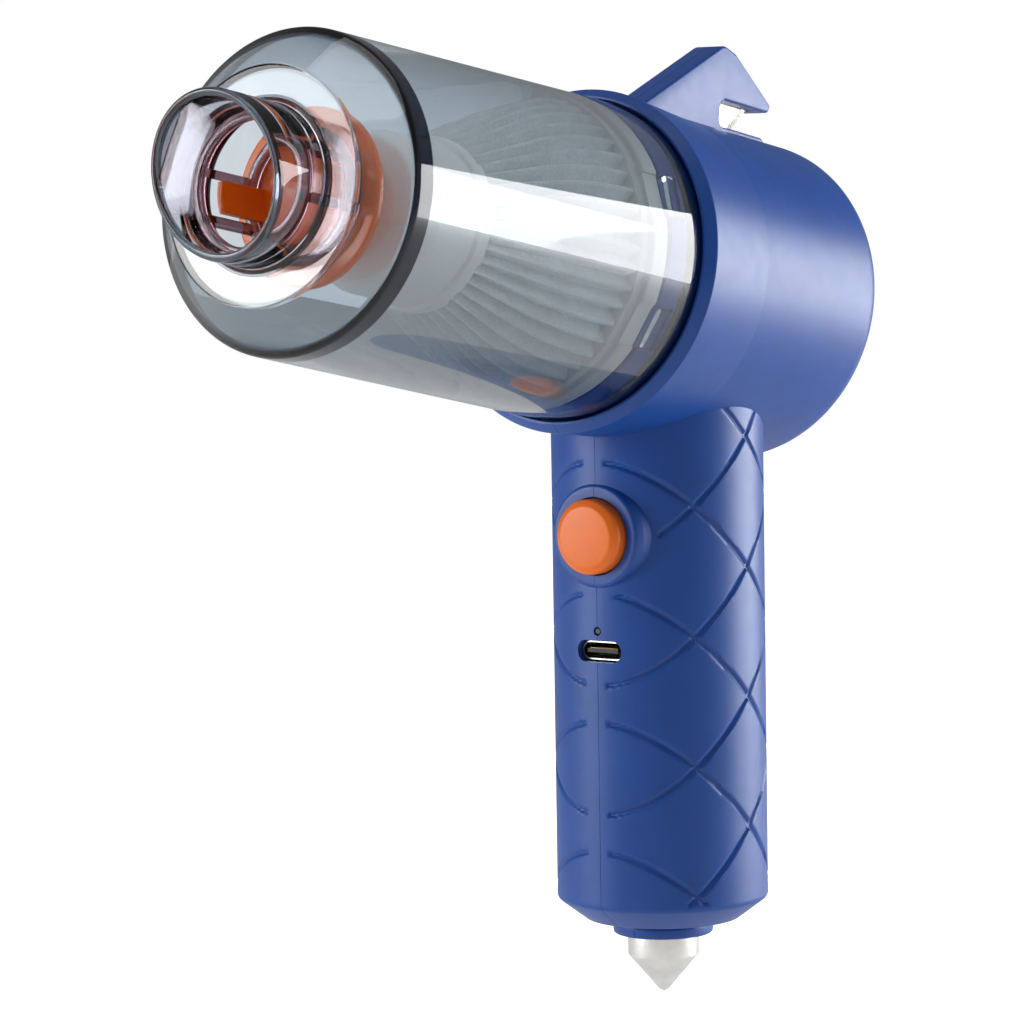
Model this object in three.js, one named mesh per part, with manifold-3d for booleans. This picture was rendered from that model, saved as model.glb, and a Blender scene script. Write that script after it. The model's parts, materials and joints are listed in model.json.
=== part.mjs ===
// Hand-held cordless car vacuum with a belt cutter on top and a glass-breaking point under the handle.
// Millimetres, +Z up along the handle. The nozzle points towards -Y and tips up a little.
// The origin is the middle of the grip, on the handle's axis.
import * as THREE from 'three';
import { mergeVertices } from 'three/addons/utils/BufferGeometryUtils.js';
import Module from 'manifold-3d';

// ---- driving dimensions ----
// The barrel group has its own frame: X across, Y backwards along the barrel, Z up from its axis.
// A "station" is a distance ahead of the handle's axis along the barrel, so Y = -station there.
const BARREL_Z = 70;                 // where the barrel's axis crosses the handle's axis
const BARREL_TILT = 9.4 * Math.PI / 180;

const BODY = { rimR: 30.3, rimS: 24.9, taperEndS: 7.5, r: 29.2, backS: -31, backRound: 5, boreR: 26.8 };
const NECK = { r: 25.6, boreR: 22.6, frontS: 34, floorS: 24 };
const RECESS_R = 28.55;              // the collar's groove that the cup's end slides into
const CHAMBER = { frontS: 22, backS: -28.8 };

const CUP = { backR: 28.25, backS: 24.4, ringR: 26.7, ringS: 102.5, faceR: 19.5, faceS: 109, wall: 1.9 };
// The mouth's top reaches further forward than its bottom.
const NOZZLE = { baseR: 13.7, r: 13.3, boreR: 11.9, mouthS: 120.4, slant: 14.2 * Math.PI / 180 };
const LUG = { angles: [68.5, 118.5, -111.5, -61.5], width: 7, innerR: 24.9, fromS: 30, toS: 33.3 };

const CAGE = { r: 11.6, boreR: 10.2, backS: 97.9, frontS: 112.2, ring: 1.8, ribWidth: 1.5, ribAngle: 21, turn: -10 };
const DEFLECTOR = { r: 14.7, cheekR: 9.9, backS: 96.1, frontS: 97.6, cheekFrontS: 108, cheekHalf: 15.5 };

const PLEATS = { count: 24, depth: 1.1, wall: 2.6, frontS: 70, backS: 38.6 };
const FILTER = {
  spigotR: 21.6, spigotBoreR: 18.2, spigotBackS: 26, flangeR: 25.3, flangeFromS: 34.3, flangeToS: 38.3,
};

const HANDLE = {
  r: 19.1, boreR: 16.9, creaseZ: -41.2, bottomR: 13.9, bottomZ: -45.1, neckR: 9.2, neckZ: -48,
};
const TIP = { r: 6.45, edgeZ: -52, pointZ: -59, shankR: 4.2, headR: 6.2 };

const BUTTON = { r: 6.7, z: 25.5, faceY: -22.7, gap: 0.3 };
const BOSS = { r: 9, rootR: 10.4, faceY: -19.6 };
const USB = { width: 9.5, height: 3.9, z: 5 };
const LED_Z = 8.6;
const BOARD = { halfWidth: 12.3, frontY: -7.4, backY: -5.8, bottomZ: -4, topZ: 36 };
const CELL = { r: 9.2, y: 6.5, bottomZ: -39.2, topZ: 25.8 };

const FIN_HALF = 3.2;
const SLOT = { topH: 34.95, floorH: 30.1, endS: -11.7 };
const BLADE_THICK = 1;

const SPLIT_GAP = 0.1;               // each half of the housing stops this far from the middle plane
const GAP = 0.3;                     // clearance between pieces that only touch
const SCREW = { r: 1, headR: 2.1, seatX: -6, tipX: 8, pilotR: 1.3, wellR: 2.5, bossR: 3.1 };
const BARREL_SCREWS = [[2, 22], [-20, 21.5], [-20, -21.5]];   // station, height above the barrel's axis
const HANDLE_SCREWS = [[8, 33], [-9, -20]];                   // y, z

const ROUND = 36;                    // facets round the barrel's large turned pieces
const HANDLE_ROUND = 32;
const MIDDLE_ROUND = 24;
const SMALL_ROUND = 16;
const SCREW_ROUND = 8;

// ---- solids: every boolean takes and gives closed geometry ----
const wasm = await Module();
wasm.setup();

function toSolid(geometry) {
  const bare = new THREE.BufferGeometry();
  bare.setAttribute('position', geometry.getAttribute('position'));
  bare.setIndex(geometry.index);
  const merged = mergeVertices(bare, 1e-4);
  const index = merged.index.array;
  const faces = [];
  for (let i = 0; i < index.length; i += 3) {
    const [a, b, c] = index.slice(i, i + 3);
    if (a !== b && b !== c && c !== a) faces.push(a, b, c);
  }
  const vertProperties = new Float32Array(merged.getAttribute('position').array);
  return new wasm.Manifold(new wasm.Mesh({ numProp: 3, vertProperties, triVerts: new Uint32Array(faces) }));
}

function fromSolid(solid) {
  const { vertProperties, triVerts } = solid.getMesh();
  const geometry = new THREE.BufferGeometry();
  geometry.setAttribute('position', new THREE.BufferAttribute(vertProperties, 3));
  geometry.setIndex(new THREE.BufferAttribute(triVerts, 1));
  geometry.computeVertexNormals();
  return geometry;
}

const join = (...parts) => fromSolid(parts.map(toSolid).reduce((a, b) => a.add(b)));
const cut = (body, ...tools) => fromSolid(tools.map(toSolid).reduce((a, b) => a.subtract(b), toSolid(body)));
const common = (a, b) => fromSolid(toSolid(a).intersect(toSolid(b)));

// ---- shapes ----
const barrel = new THREE.Group();
barrel.position.set(0, 0, BARREL_Z);
barrel.rotation.x = -BARREL_TILT;
barrel.updateMatrix();
const toRow = (geometry) => geometry.clone().applyMatrix4(barrel.matrix);

// A profile of [radius, height] turned about +Y. It closes on itself or on the axis.
function turnedY(profile, facets) {
  let area = 0;
  profile.forEach(([r, y], i) => {
    const [r2, y2] = profile[(i + 1) % profile.length];
    area += r * y2 - r2 * y;
  });
  const points = profile.map(([r, y]) => new THREE.Vector2(r, y));
  const onAxis = profile[0][0] === 0 && profile.at(-1)[0] === 0;
  if (!onAxis) points.push(points[0].clone());
  if (area < 0) points.reverse();
  return new THREE.LatheGeometry(points, facets);
}

// Profile of [radius, station] for the barrel, in the barrel's frame.
const turned = (profile, facets = ROUND) => turnedY(profile.map(([r, s]) => [r, -s]), facets);
// Profile of [radius, z] about the handle's axis.
const turnedZ = (profile, facets = HANDLE_ROUND) => turnedY(profile, facets).rotateX(Math.PI / 2);

function block([x0, x1], [y0, y1], [z0, z1]) {
  const box = new THREE.BoxGeometry(x1 - x0, y1 - y0, z1 - z0);
  return box.translate((x0 + x1) / 2, (y0 + y1) / 2, (z0 + z1) / 2);
}

// A block given by its stations instead of Y, turned by an angle round the barrel's axis.
function barrelBlock(x, [s0, s1], h, degrees = 0) {
  return block(x, [-s1, -s0], h).rotateY(THREE.MathUtils.degToRad(degrees));
}

function rodX(radius, [x0, x1], y, z, facets = SCREW_ROUND) {
  const rod = new THREE.CylinderGeometry(radius, radius, x1 - x0, facets);
  return rod.rotateZ(Math.PI / 2).translate((x0 + x1) / 2, y, z);
}

function rodY(radius, [y0, y1], x, z, facets = SMALL_ROUND) {
  return new THREE.CylinderGeometry(radius, radius, y1 - y0, facets).translate(x, (y0 + y1) / 2, z);
}

// A closed outline whose corners are [a, b] or [a, b, rounding].
function rounded(corners) {
  const shape = new THREE.Shape();
  corners.forEach(([a, b, rounding = 0], i) => {
    const corner = new THREE.Vector2(a, b);
    if (!rounding) {
      if (i === 0) shape.moveTo(a, b);
      else shape.lineTo(a, b);
      return;
    }
    const towards = (other) => {
      const way = new THREE.Vector2(other[0], other[1]).sub(corner).normalize();
      return corner.clone().addScaledVector(way, rounding);
    };
    const start = towards(corners.at(i - 1));
    const end = towards(corners[(i + 1) % corners.length]);
    if (i === 0) shape.moveTo(start.x, start.y);
    else shape.lineTo(start.x, start.y);
    shape.quadraticCurveTo(a, b, end.x, end.y);
  });
  return shape;
}

// A side-view outline of [station, height] corners, given a thickness across X, in the barrel's frame.
function sidePlate(corners, [x0, x1], curveSegments = 5) {
  const shape = rounded(corners.map(([s, h, rounding]) => [-s, h, rounding]));
  const plate = new THREE.ExtrudeGeometry(shape, { depth: x1 - x0, bevelEnabled: false, curveSegments });
  const sideways = new THREE.Matrix4().makeBasis(
    new THREE.Vector3(0, 1, 0), new THREE.Vector3(0, 0, 1), new THREE.Vector3(1, 0, 0));
  return plate.applyMatrix4(sideways).translate(x0, 0, 0);
}

// A slot shape with round ends, width along X and height along Z, running along Y.
function roundSlot(width, height, [y0, y1], z) {
  const half = (width - height) / 2;
  const shape = new THREE.Shape();
  shape.absarc(half, 0, height / 2, -Math.PI / 2, Math.PI / 2);
  shape.absarc(-half, 0, height / 2, Math.PI / 2, Math.PI * 1.5);
  const slot = new THREE.ExtrudeGeometry(shape, { depth: y1 - y0, bevelEnabled: false, curveSegments: 4 });
  return slot.rotateX(Math.PI / 2).translate(0, y1, z);
}

const arc = (r, s, radius, from, to, steps) => Array.from({ length: steps + 1 }, (_, i) => {
  const angle = THREE.MathUtils.degToRad(from + (to - from) * i / steps);
  return [r + radius * Math.cos(angle), s + radius * Math.sin(angle)];
});

// ---- materials ----
function finish(color, roughness, metalness = 0) {
  return new THREE.MeshStandardMaterial({ color, roughness, metalness });
}

const BLUE = finish(0x2f56a3, 0.5);
const ORANGE = finish(0xee6a24, 0.45);
const SMOKE = finish(0x62727f, 0.08);
SMOKE.transparent = true;
SMOKE.opacity = 0.4;
const FILTER_WHITE = finish(0xe9ebe8, 0.9);
const FRAME_WHITE = finish(0xe3e2dc, 0.55);
const RUBBER = finish(0x23262b, 0.85);
const BLACK = finish(0x202226, 0.6);
const STEEL = finish(0xc8c6c1, 0.25, 1);
const BRONZE = finish(0x9c7a45, 0.4, 1);
const COPPER = finish(0xb87045, 0.35, 1);
const BOARD_GREEN = finish(0x1e6b42, 0.5);
const CELL_WRAP = finish(0x2c8f7a, 0.4);
const CLEAR = finish(0xf2f5f5, 0.1);
const RED = finish(0xc0281f, 0.5);

const model = new THREE.Group();
model.add(barrel);

function add(name, geometry, material, parent = model) {
  const mesh = new THREE.Mesh(geometry, material);
  mesh.name = name;
  parent.add(mesh);
}

// ---- dust cup: tapered clear tube, sloped front, nozzle with a slanted mouth, lugs inside its end ----
// Blocks at the lugs' places round the barrel, a little wider than a lug, from a radius outwards.
function atLugs(innerR, stations) {
  const half = LUG.width / 2 + 0.4;
  return LUG.angles.map((angle) => barrelBlock([-half, half], stations, [innerR, 27.5], angle));
}

function dustCup() {
  const longS = NOZZLE.mouthS + 8;
  const innerFaceS = CUP.faceS - CUP.wall;
  const shell = turned([
    [CUP.backR, CUP.backS], [CUP.ringR, CUP.ringS], [CUP.faceR, CUP.faceS],
    [NOZZLE.baseR, CUP.faceS], [NOZZLE.r, longS], [NOZZLE.boreR, longS],
    [NOZZLE.boreR, innerFaceS], [CUP.faceR - 0.8, innerFaceS],
    [CUP.ringR - CUP.wall, CUP.ringS - 0.9], [CUP.backR - CUP.wall, CUP.backS],
  ]);
  const beyondMouth = block([-30, 30], [-60, 0], [-30, 30]);
  beyondMouth.rotateX(NOZZLE.slant).translate(0, -NOZZLE.mouthS, 0);
  const outerR = CUP.backR - CUP.wall / 2;
  const across = [-LUG.width / 2, LUG.width / 2];
  const lugs = LUG.angles.map((angle) => {
    return barrelBlock(across, [LUG.fromS, LUG.toS], [LUG.innerR, outerR], angle);
  });
  return join(cut(shell, beyondMouth), ...lugs);
}

// ---- inlet: smoked cage in the nozzle's root, and the deflector that turns the air sideways behind it ----
function inletCage() {
  const ring = (s0, s1) => turned([
    [CAGE.boreR, s0], [CAGE.r, s0], [CAGE.r, s1], [CAGE.boreR, s1]], MIDDLE_ROUND);
  const parts = [
    ring(CAGE.backS, CAGE.backS + CAGE.ring),
    ring(CAGE.frontS - CAGE.ring, CAGE.frontS),
  ];
  const half = CAGE.ribWidth / 2;
  const span = [CAGE.backS + CAGE.ring / 2, CAGE.frontS - CAGE.ring / 2];
  for (const side of [90, -90]) {
    for (const lean of [-CAGE.ribAngle, CAGE.ribAngle]) {
      parts.push(barrelBlock([-half, half], span, [CAGE.boreR + 0.1, CAGE.r - 0.15], side + lean + CAGE.turn));
    }
  }
  return join(...parts);
}

function inletDeflector() {
  const disc = turned([[0, DEFLECTOR.backS], [DEFLECTOR.r, DEFLECTOR.backS],
    [DEFLECTOR.r, DEFLECTOR.frontS], [0, DEFLECTOR.frontS]], MIDDLE_ROUND);
  const tube = turned([[DEFLECTOR.cheekR - 1, DEFLECTOR.frontS - 1], [DEFLECTOR.cheekR, DEFLECTOR.frontS - 1],
    [DEFLECTOR.cheekR, DEFLECTOR.cheekFrontS], [DEFLECTOR.cheekR - 1, DEFLECTOR.cheekFrontS]], MIDDLE_ROUND);
  const halfHeight = DEFLECTOR.cheekR * Math.sin(THREE.MathUtils.degToRad(DEFLECTOR.cheekHalf));
  const band = barrelBlock([-20, 20], [90, 115], [-halfHeight, halfHeight]);
  return join(disc, common(tube, band.rotateY(THREE.MathUtils.degToRad(CAGE.turn))));
}

// ---- filter: cap, pleated bowl, frame with a spigot, seal ring ----
function filterPleats() {
  const outer = [[14, PLEATS.frontS], [17.4, 63.5], [20.7, 56], [22.9, 44], [22.9, PLEATS.backS]];
  const inner = outer.map(([r, s]) => [r - PLEATS.wall, s]).reverse();
  const bowl = turned([...outer, ...inner], PLEATS.count * 2);
  const position = bowl.getAttribute('position');
  for (let i = 0; i < position.count; i += 1) {
    const x = position.getX(i);
    const z = position.getZ(i);
    const radius = Math.hypot(x, z);
    const fold = Math.round(Math.atan2(x, z) / Math.PI * PLEATS.count);
    const scale = fold % 2 === 0 ? 1 : 1 - PLEATS.depth / radius;
    position.setX(i, x * scale);
    position.setZ(i, z * scale);
  }
  return bowl;
}

const filterCap = () => turned([
  [0, 86.5], [8.5, 86.3], [12.2, 84.8], [13.6, 81.5], [14.1, 70.4],
  [11.6, 70.4], [11.3, 80], [9.5, 83.4], [0, 84.4],
], MIDDLE_ROUND);

// The flange has four shallow flats that let the cup's lugs past.
function filterFrame() {
  const frame = turned([
    [FILTER.spigotBoreR, FILTER.spigotBackS], [FILTER.spigotR - 0.4, FILTER.spigotBackS],
    [FILTER.spigotR, 26.6], [FILTER.spigotR, 28.4],
    [FILTER.spigotR - 1.2, 28.4], [FILTER.spigotR - 1.2, 30.8], [FILTER.spigotR, 30.8],
    [FILTER.spigotR, FILTER.flangeFromS], [FILTER.flangeR, FILTER.flangeFromS],
    [FILTER.flangeR, FILTER.flangeToS - 0.5], [FILTER.flangeR - 0.5, FILTER.flangeToS],
    [FILTER.spigotBoreR, FILTER.flangeToS],
  ]);
  return cut(frame, ...atLugs(LUG.innerR - 0.4, [FILTER.flangeFromS - 1, FILTER.flangeToS + 1]));
}

const ringOf = (innerR, outerR, s0, s1) => turned([
  [innerR, s0], [outerR, s0 + 0.3], [outerR, s1 - 0.3], [innerR, s1],
]);

// ---- housing: barrel, handle and fin as one hollow form, split down the middle ----
function housingOuter() {
  const roundR = BODY.r - BODY.backRound;
  const roundS = BODY.backS + BODY.backRound;
  const barrelForm = turned([
    [0, NECK.frontS], [NECK.r - 0.5, NECK.frontS], [NECK.r, NECK.frontS - 0.5], [NECK.r, NECK.floorS],
    [RECESS_R, NECK.floorS], [RECESS_R, 26.7], [28.9, 27], [29.3, 26.8], [BODY.rimR, BODY.rimS],
    [BODY.r, BODY.taperEndS], ...arc(roundR, roundS, BODY.backRound, 0, -90, 3), [0, BODY.backS],
  ]);
  const handleForm = turnedZ([
    [0, 60], [HANDLE.r, 60], [HANDLE.r, HANDLE.creaseZ + 1.4], [HANDLE.r - 0.5, HANDLE.creaseZ - 0.2],
    [HANDLE.bottomR, HANDLE.bottomZ], [HANDLE.neckR, HANDLE.bottomZ],
    [HANDLE.neckR - 0.3, HANDLE.neckZ], [0, HANDLE.neckZ],
  ]);
  const fin = sidePlate([
    [15.6, 28], [-11.3, 44.8, 2.2], [-15.2, 43.9, 1.6], [-28, 36.3, 0.8], [-27, SLOT.topH, 0.7],
    [SLOT.endS, SLOT.topH, 1.8], [SLOT.endS, SLOT.floorH, 1.6], [-25.6, SLOT.floorH, 1.2], [-28, 28.6],
    [-28, 26.5], [15.6, 26.5],
  ], [-FIN_HALF, FIN_HALF]);
  const boss = turnedY([
    [0, BOSS.faceY], [BOSS.r, BOSS.faceY], [BOSS.rootR, -15.5], [0, -15.5],
  ], MIDDLE_ROUND).translate(0, 0, BUTTON.z);
  return join(toRow(barrelForm), handleForm, toRow(fin), boss);
}

function housingHollow() {
  const chamber = turned([
    [0, NECK.frontS + 1], [NECK.boreR, NECK.frontS + 1], [NECK.boreR, CHAMBER.frontS],
    [BODY.boreR, CHAMBER.frontS], [BODY.boreR, CHAMBER.backS], [22, CHAMBER.backS],
    [22, BODY.backS - 1], [0, BODY.backS - 1],
  ]);
  const grip = turnedZ([
    [0, 58], [HANDLE.boreR, 58], [HANDLE.boreR, -40.2], [13.2, -42.9], [0, -42.9],
  ]);
  return join(toRow(chamber), grip);
}

const rodsAlongScrews = (radius, x) => [
  ...BARREL_SCREWS.map(([s, h]) => toRow(rodX(radius, x, -s, h))),
  ...HANDLE_SCREWS.map(([y, z]) => rodX(radius, x, y, z)),
];

function housingRibs() {
  const rib = (innerR, s0, s1) => turned([
    [innerR, s0], [BODY.boreR + 0.8, s0], [BODY.boreR + 0.8, s1], [innerR, s1]]);
  const airways = [barrelBlock([-5, 5], [-35, 20], [-30, 30]), barrelBlock([-30, 30], [-35, 20], [-5, 5])];
  const barrelRibs = [
    cut(rib(14.1, -16, -14), ...airways),
    cut(rib(24, 4.4, 6.1), ...airways),
    cut(rib(23.4, -26.7, -25.3), ...airways),
  ];
  const cellRoom = new THREE.CylinderGeometry(CELL.r + GAP, CELL.r + GAP, 120, MIDDLE_ROUND);
  cellRoom.rotateX(Math.PI / 2).translate(0, CELL.y, 0);
  const boardRoom = block([-20, 20], [-20, -3.6], [-60, 60]);
  const cradles = [-30, -8, 14].map((z) => {
    const disc = turnedZ([[0, z], [HANDLE.boreR + 0.8, z], [HANDLE.boreR + 0.8, z + 1.6], [0, z + 1.6]]);
    return cut(disc, cellRoom, boardRoom);
  });
  const rails = [-1, 1].flatMap((side) => [
    block([side > 0 ? 10.6 : -14.8, side > 0 ? 14.8 : -10.6], [-9.4, BOARD.frontY - GAP], [-2, 34]),
    block([side > 0 ? 10.6 : -16.4, side > 0 ? 16.4 : -10.6], [BOARD.backY + GAP, -4.1], [-2, 34]),
  ]);
  return [...barrelRibs.map(toRow), ...cradles, ...rails, ...rodsAlongScrews(SCREW.bossR, [-25, 25])];
}

function bladeOutline(margin) {
  return [
    [-8.5 + margin, 37.3 + margin], [-23.2 - margin, 36.7 + margin], [-24.3 - margin, SLOT.topH],
    [-19.1 - margin, SLOT.floorH], [-17.9 - margin, 28.4 - margin], [-8.5 + margin, 28.4 - margin],
  ];
}

function housingHalves() {
  const outer = housingOuter();
  const ribs = common(join(...housingRibs()), outer);
  const shell = join(cut(outer, housingHollow()), ribs);
  const pocketX = BLADE_THICK / 2 + GAP;
  const sealGroove = turned([[24.7, 26.8], [30, 26.8], [30, 29], [24.7, 29]]);
  const groove = common(sealGroove, turned([[20, 26], [NECK.r + 0.2, 26], [NECK.r + 0.2, 30], [20, 30]]));
  const notches = atLugs(LUG.innerR - 0.4, [LUG.fromS - 0.4, NECK.frontS + 2]);
  const open = cut(shell,
    toRow(groove), ...notches.map(toRow),
    toRow(sidePlate(bladeOutline(GAP), [-pocketX, pocketX])),
    rodY(BUTTON.r + BUTTON.gap, [-24, -12], 0, BUTTON.z, MIDDLE_ROUND),
    rodY(0.8, [-24, -12], 0, LED_Z, SCREW_ROUND),
    roundSlot(USB.width, USB.height, [-24, -12], USB.z),
    turnedZ([[0, -49], [TIP.r + 0.35, -49], [TIP.r + 0.35, -46], [TIP.shankR + 0.35, -46],
      [TIP.shankR + 0.35, -42], [0, -42]], SMALL_ROUND),
    ...rodsAlongScrews(SCREW.pilotR, [SCREW.seatX - 1, SCREW.tipX + 1]),
    ...rodsAlongScrews(SCREW.wellR, [-40, SCREW.seatX]));
  return {
    left: common(open, block([-60, -SPLIT_GAP], [-80, 80], [-80, 160])),
    right: common(open, block([SPLIT_GAP, 60], [-80, 80], [-80, 160])),
  };
}

function rearCover() {
  const plate = turned([
    [0, BODY.backS], [21.6, BODY.backS], [21.6, -28.5], [24.5, -28.5], [24.5, -27.1],
    [20.4, -27.1], [20.4, -28.9], [0, -28.9],
  ]);
  const slots = [];
  for (let i = -3; i <= 3; i += 1) {
    const h = i * 5;
    const half = Math.sqrt(18.4 ** 2 - h ** 2);
    slots.push(barrelBlock([-half, half], [-33, -27.5], [h - 1.3, h + 1.3]));
  }
  return cut(plate, ...slots);
}

// ---- fan and motor ----
const fanShroud = () => turned([
  [9.2, 19.9], [9.2, 21.6], [26.4, 21.6], [26.4, 9.3], [24.9, 9.3], [24.9, 19.9]]);

function impeller() {
  const disc = turned([
    [1.3, 10.4], [19.5, 10.4], [19.5, 11.6], [4.6, 11.6], [3.4, 18.4], [1.3, 18.4]], MIDDLE_ROUND);
  const blades = [];
  const count = 7;
  for (let i = 0; i < count; i += 1) {
    const steps = 4;
    const sides = [[], []];
    for (let k = 0; k <= steps; k += 1) {
      const r = 4 + 15.2 * k / steps;
      const turn = -0.95 * k / steps + i * 2 * Math.PI / count;
      sides[0].push([r * Math.cos(turn - 0.5 / r), r * Math.sin(turn - 0.5 / r)]);
      sides[1].unshift([r * Math.cos(turn + 0.5 / r), r * Math.sin(turn + 0.5 / r)]);
    }
    const shape = new THREE.Shape([...sides[0], ...sides[1]].map(([a, b]) => new THREE.Vector2(a, b)));
    const blade = new THREE.ExtrudeGeometry(shape, { depth: 8, bevelEnabled: false });
    blades.push(blade.rotateX(Math.PI / 2).translate(0, -11, 0));
  }
  return join(disc, ...blades);
}

function motorMount() {
  const plate = turned([[3.3, 6.5], [26.4, 6.5], [26.4, 8.9], [3.3, 8.9]]);
  const openings = [];
  for (let i = 0; i < 8; i += 1) {
    openings.push(barrelBlock([-3.6, 3.6], [5, 10], [15.2, 23.6], 22.5 + i * 45));
  }
  const screws = [-8, 8].flatMap((x) => [
    rodY(1.2, [-10, -5], x, 0, SCREW_ROUND),
    rodY(2.2, [-10, -7.9], x, 0, SCREW_ROUND),
  ]);
  return cut(plate, ...openings, ...screws);
}

function motorCan() {
  const can = turned([
    [3.1, 4.8], [12.6, 4.8], [12.6, -20], [13.8, -20], [13.8, 5.2], [12.8, 6.2], [3.1, 6.2]], MIDDLE_ROUND);
  return cut(can, ...[-8, 8].map((x) => rodY(1.2, [-8, -3], x, 0, SCREW_ROUND)));
}

function motorEndCap() {
  const cap = turned([
    [3.1, -23], [12.9, -23], [13.6, -22.3], [13.6, -20.3], [12.3, -20.3], [12.3, -18.3], [11.2, -18.3],
    [11.2, -20.6], [3.1, -20.6]], MIDDLE_ROUND);
  return cut(cap, ...[-8, 8].map((x) => barrelBlock([x - 0.6, x + 0.6], [-24, -18], [-1.9, 1.9])));
}

function armature() {
  const core = turned([[1.3, -18], [3.6, -18], [3.6, -15], [10.4, -15], [10.4, 0], [1.3, 0]], MIDDLE_ROUND);
  const slots = [0, 120, 240].map((angle) => barrelBlock([-1, 1], [-16, 1], [5.5, 12], angle));
  return cut(core, ...slots);
}

function magnet(side) {
  const ring = turned([[10.9, -15.5], [12.3, -15.5], [12.3, 1], [10.9, 1]], MIDDLE_ROUND);
  return common(ring, barrelBlock([-14, 14], [-20, 5], side > 0 ? [4.5, 14] : [-14, -4.5]));
}

const bush = (s0, s1) => turned([[1.25, s0], [2.8, s0], [2.8, s1], [1.25, s1]], SMALL_ROUND);

function tube(points, radius) {
  const path = new THREE.CatmullRomCurve3(points.map(([x, y, z]) => new THREE.Vector3(x, y, z)));
  const section = new THREE.Shape();
  section.absarc(0, 0, radius, 0, Math.PI * 2);
  return new THREE.ExtrudeGeometry(section, {
    steps: 18, bevelEnabled: false, extrudePath: path, curveSegments: 4 });
}

// The leads rise from the board, pass under the motor and end just below its terminals.
const leadRoute = (side) => [
  [side * 3, -4.6, 34.6], [side * 3, -2, 41], [side * 3, 5, 47.4], [side * 3, 14.5, 50.9],
  [side * 6, 22.6, 52.9], [side * 8, 25.2, 58], [side * 8, 25.7, 62.6],
];

// ---- handle contents ----
function powerButton() {
  return turnedY([
    [0, BUTTON.faceY], [5.9, BUTTON.faceY + 0.1], [BUTTON.r, BUTTON.faceY + 0.9],
    [BUTTON.r, -14.3], [8.1, -14.3], [8.1, -13.1], [5.4, -13.1], [5.4, -20.9], [2, -20.9], [2, -12.6],
    [0, -12.6],
  ], MIDDLE_ROUND).translate(0, 0, BUTTON.z);
}

const batteryCell = () => turnedZ([
  [0, CELL.bottomZ], [CELL.r - 0.5, CELL.bottomZ], [CELL.r, CELL.bottomZ + 0.5], [CELL.r, CELL.topZ - 1.3],
  [CELL.r - 0.5, CELL.topZ - 0.8], [3, CELL.topZ - 0.8], [3, CELL.topZ], [0, CELL.topZ],
], MIDDLE_ROUND).translate(0, CELL.y, 0);

const breakerTip = () => turnedZ([
  [0, -40.6], [TIP.headR, -40.6], [TIP.headR, -42.6], [TIP.shankR, -42.6], [TIP.shankR, -46.3],
  [TIP.r, -46.3], [TIP.r, TIP.edgeZ], [0.6, TIP.pointZ + 0.25], [0, TIP.pointZ],
], MIDDLE_ROUND);

function screw() {
  const length = [
    [0, SCREW.seatX - 1.9], [SCREW.headR - 0.5, SCREW.seatX - 1.9], [SCREW.headR, SCREW.seatX - 1.3],
    [SCREW.headR, SCREW.seatX - GAP], [SCREW.r, SCREW.seatX - GAP], [SCREW.r, SCREW.tipX - 1.2],
    [0, SCREW.tipX],
  ];
  return turnedY(length, SCREW_ROUND).rotateZ(-Math.PI / 2);
}

// ---- the assembly ----
add('dust_cup', dustCup(), SMOKE, barrel);
add('inlet_cage', inletCage(), SMOKE, barrel);
add('inlet_deflector', inletDeflector(), ORANGE, barrel);
add('filter_cap', filterCap(), FRAME_WHITE, barrel);
add('filter_pleats', filterPleats(), FILTER_WHITE, barrel);
add('filter_frame', filterFrame(), FRAME_WHITE, barrel);
add('filter_seal', ringOf(20.7, 22.3, 28.7, 30.5), RUBBER, barrel);
add('cup_seal', ringOf(25, 26.05, 27.1, 28.7), RUBBER, barrel);

const halves = housingHalves();
add('housing_left', halves.left, BLUE);
add('housing_right', halves.right, BLUE);
add('rear_cover', rearCover(), BLUE, barrel);
add('belt_cutter_blade', sidePlate(bladeOutline(0), [-BLADE_THICK / 2, BLADE_THICK / 2]), STEEL, barrel);

add('fan_shroud', fanShroud(), BLACK, barrel);
add('impeller', impeller(), BLACK, barrel);
add('motor_mount', motorMount(), BLACK, barrel);
add('motor_can', motorCan(), STEEL, barrel);
add('motor_end_cap', motorEndCap(), BLACK, barrel);
add('motor_shaft', turned([[0, -22.6], [1, -22.6], [1, 19.2], [0, 19.2]], SMALL_ROUND), STEEL, barrel);
add('armature', armature(), COPPER, barrel);
add('magnet_top', magnet(1), RUBBER, barrel);
add('magnet_bottom', magnet(-1), RUBBER, barrel);
add('front_bush', bush(3.6, 7.4), BRONZE, barrel);
add('rear_bush', bush(-22.8, -19.6), BRONZE, barrel);
for (const [name, side, material] of [['left', -1, BLACK], ['right', 1, RED]]) {
  const x = side * 8;
  const motorScrew = turned([
    [0, 3.4], [0.9, 3.4], [0.9, 8.2], [1.9, 8.2], [1.9, 9.2], [0, 9.2]], SCREW_ROUND).translate(x, 0, 0);
  add(`motor_screw_${name}`, motorScrew, STEEL, barrel);
  add(`motor_terminal_${name}`, barrelBlock([x - 0.3, x + 0.3], [-27.4, -18.6], [-1.5, 1.5]), BRONZE, barrel);
  add(`motor_lead_${name}`, tube(leadRoute(side), 0.7), material);
}

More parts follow.
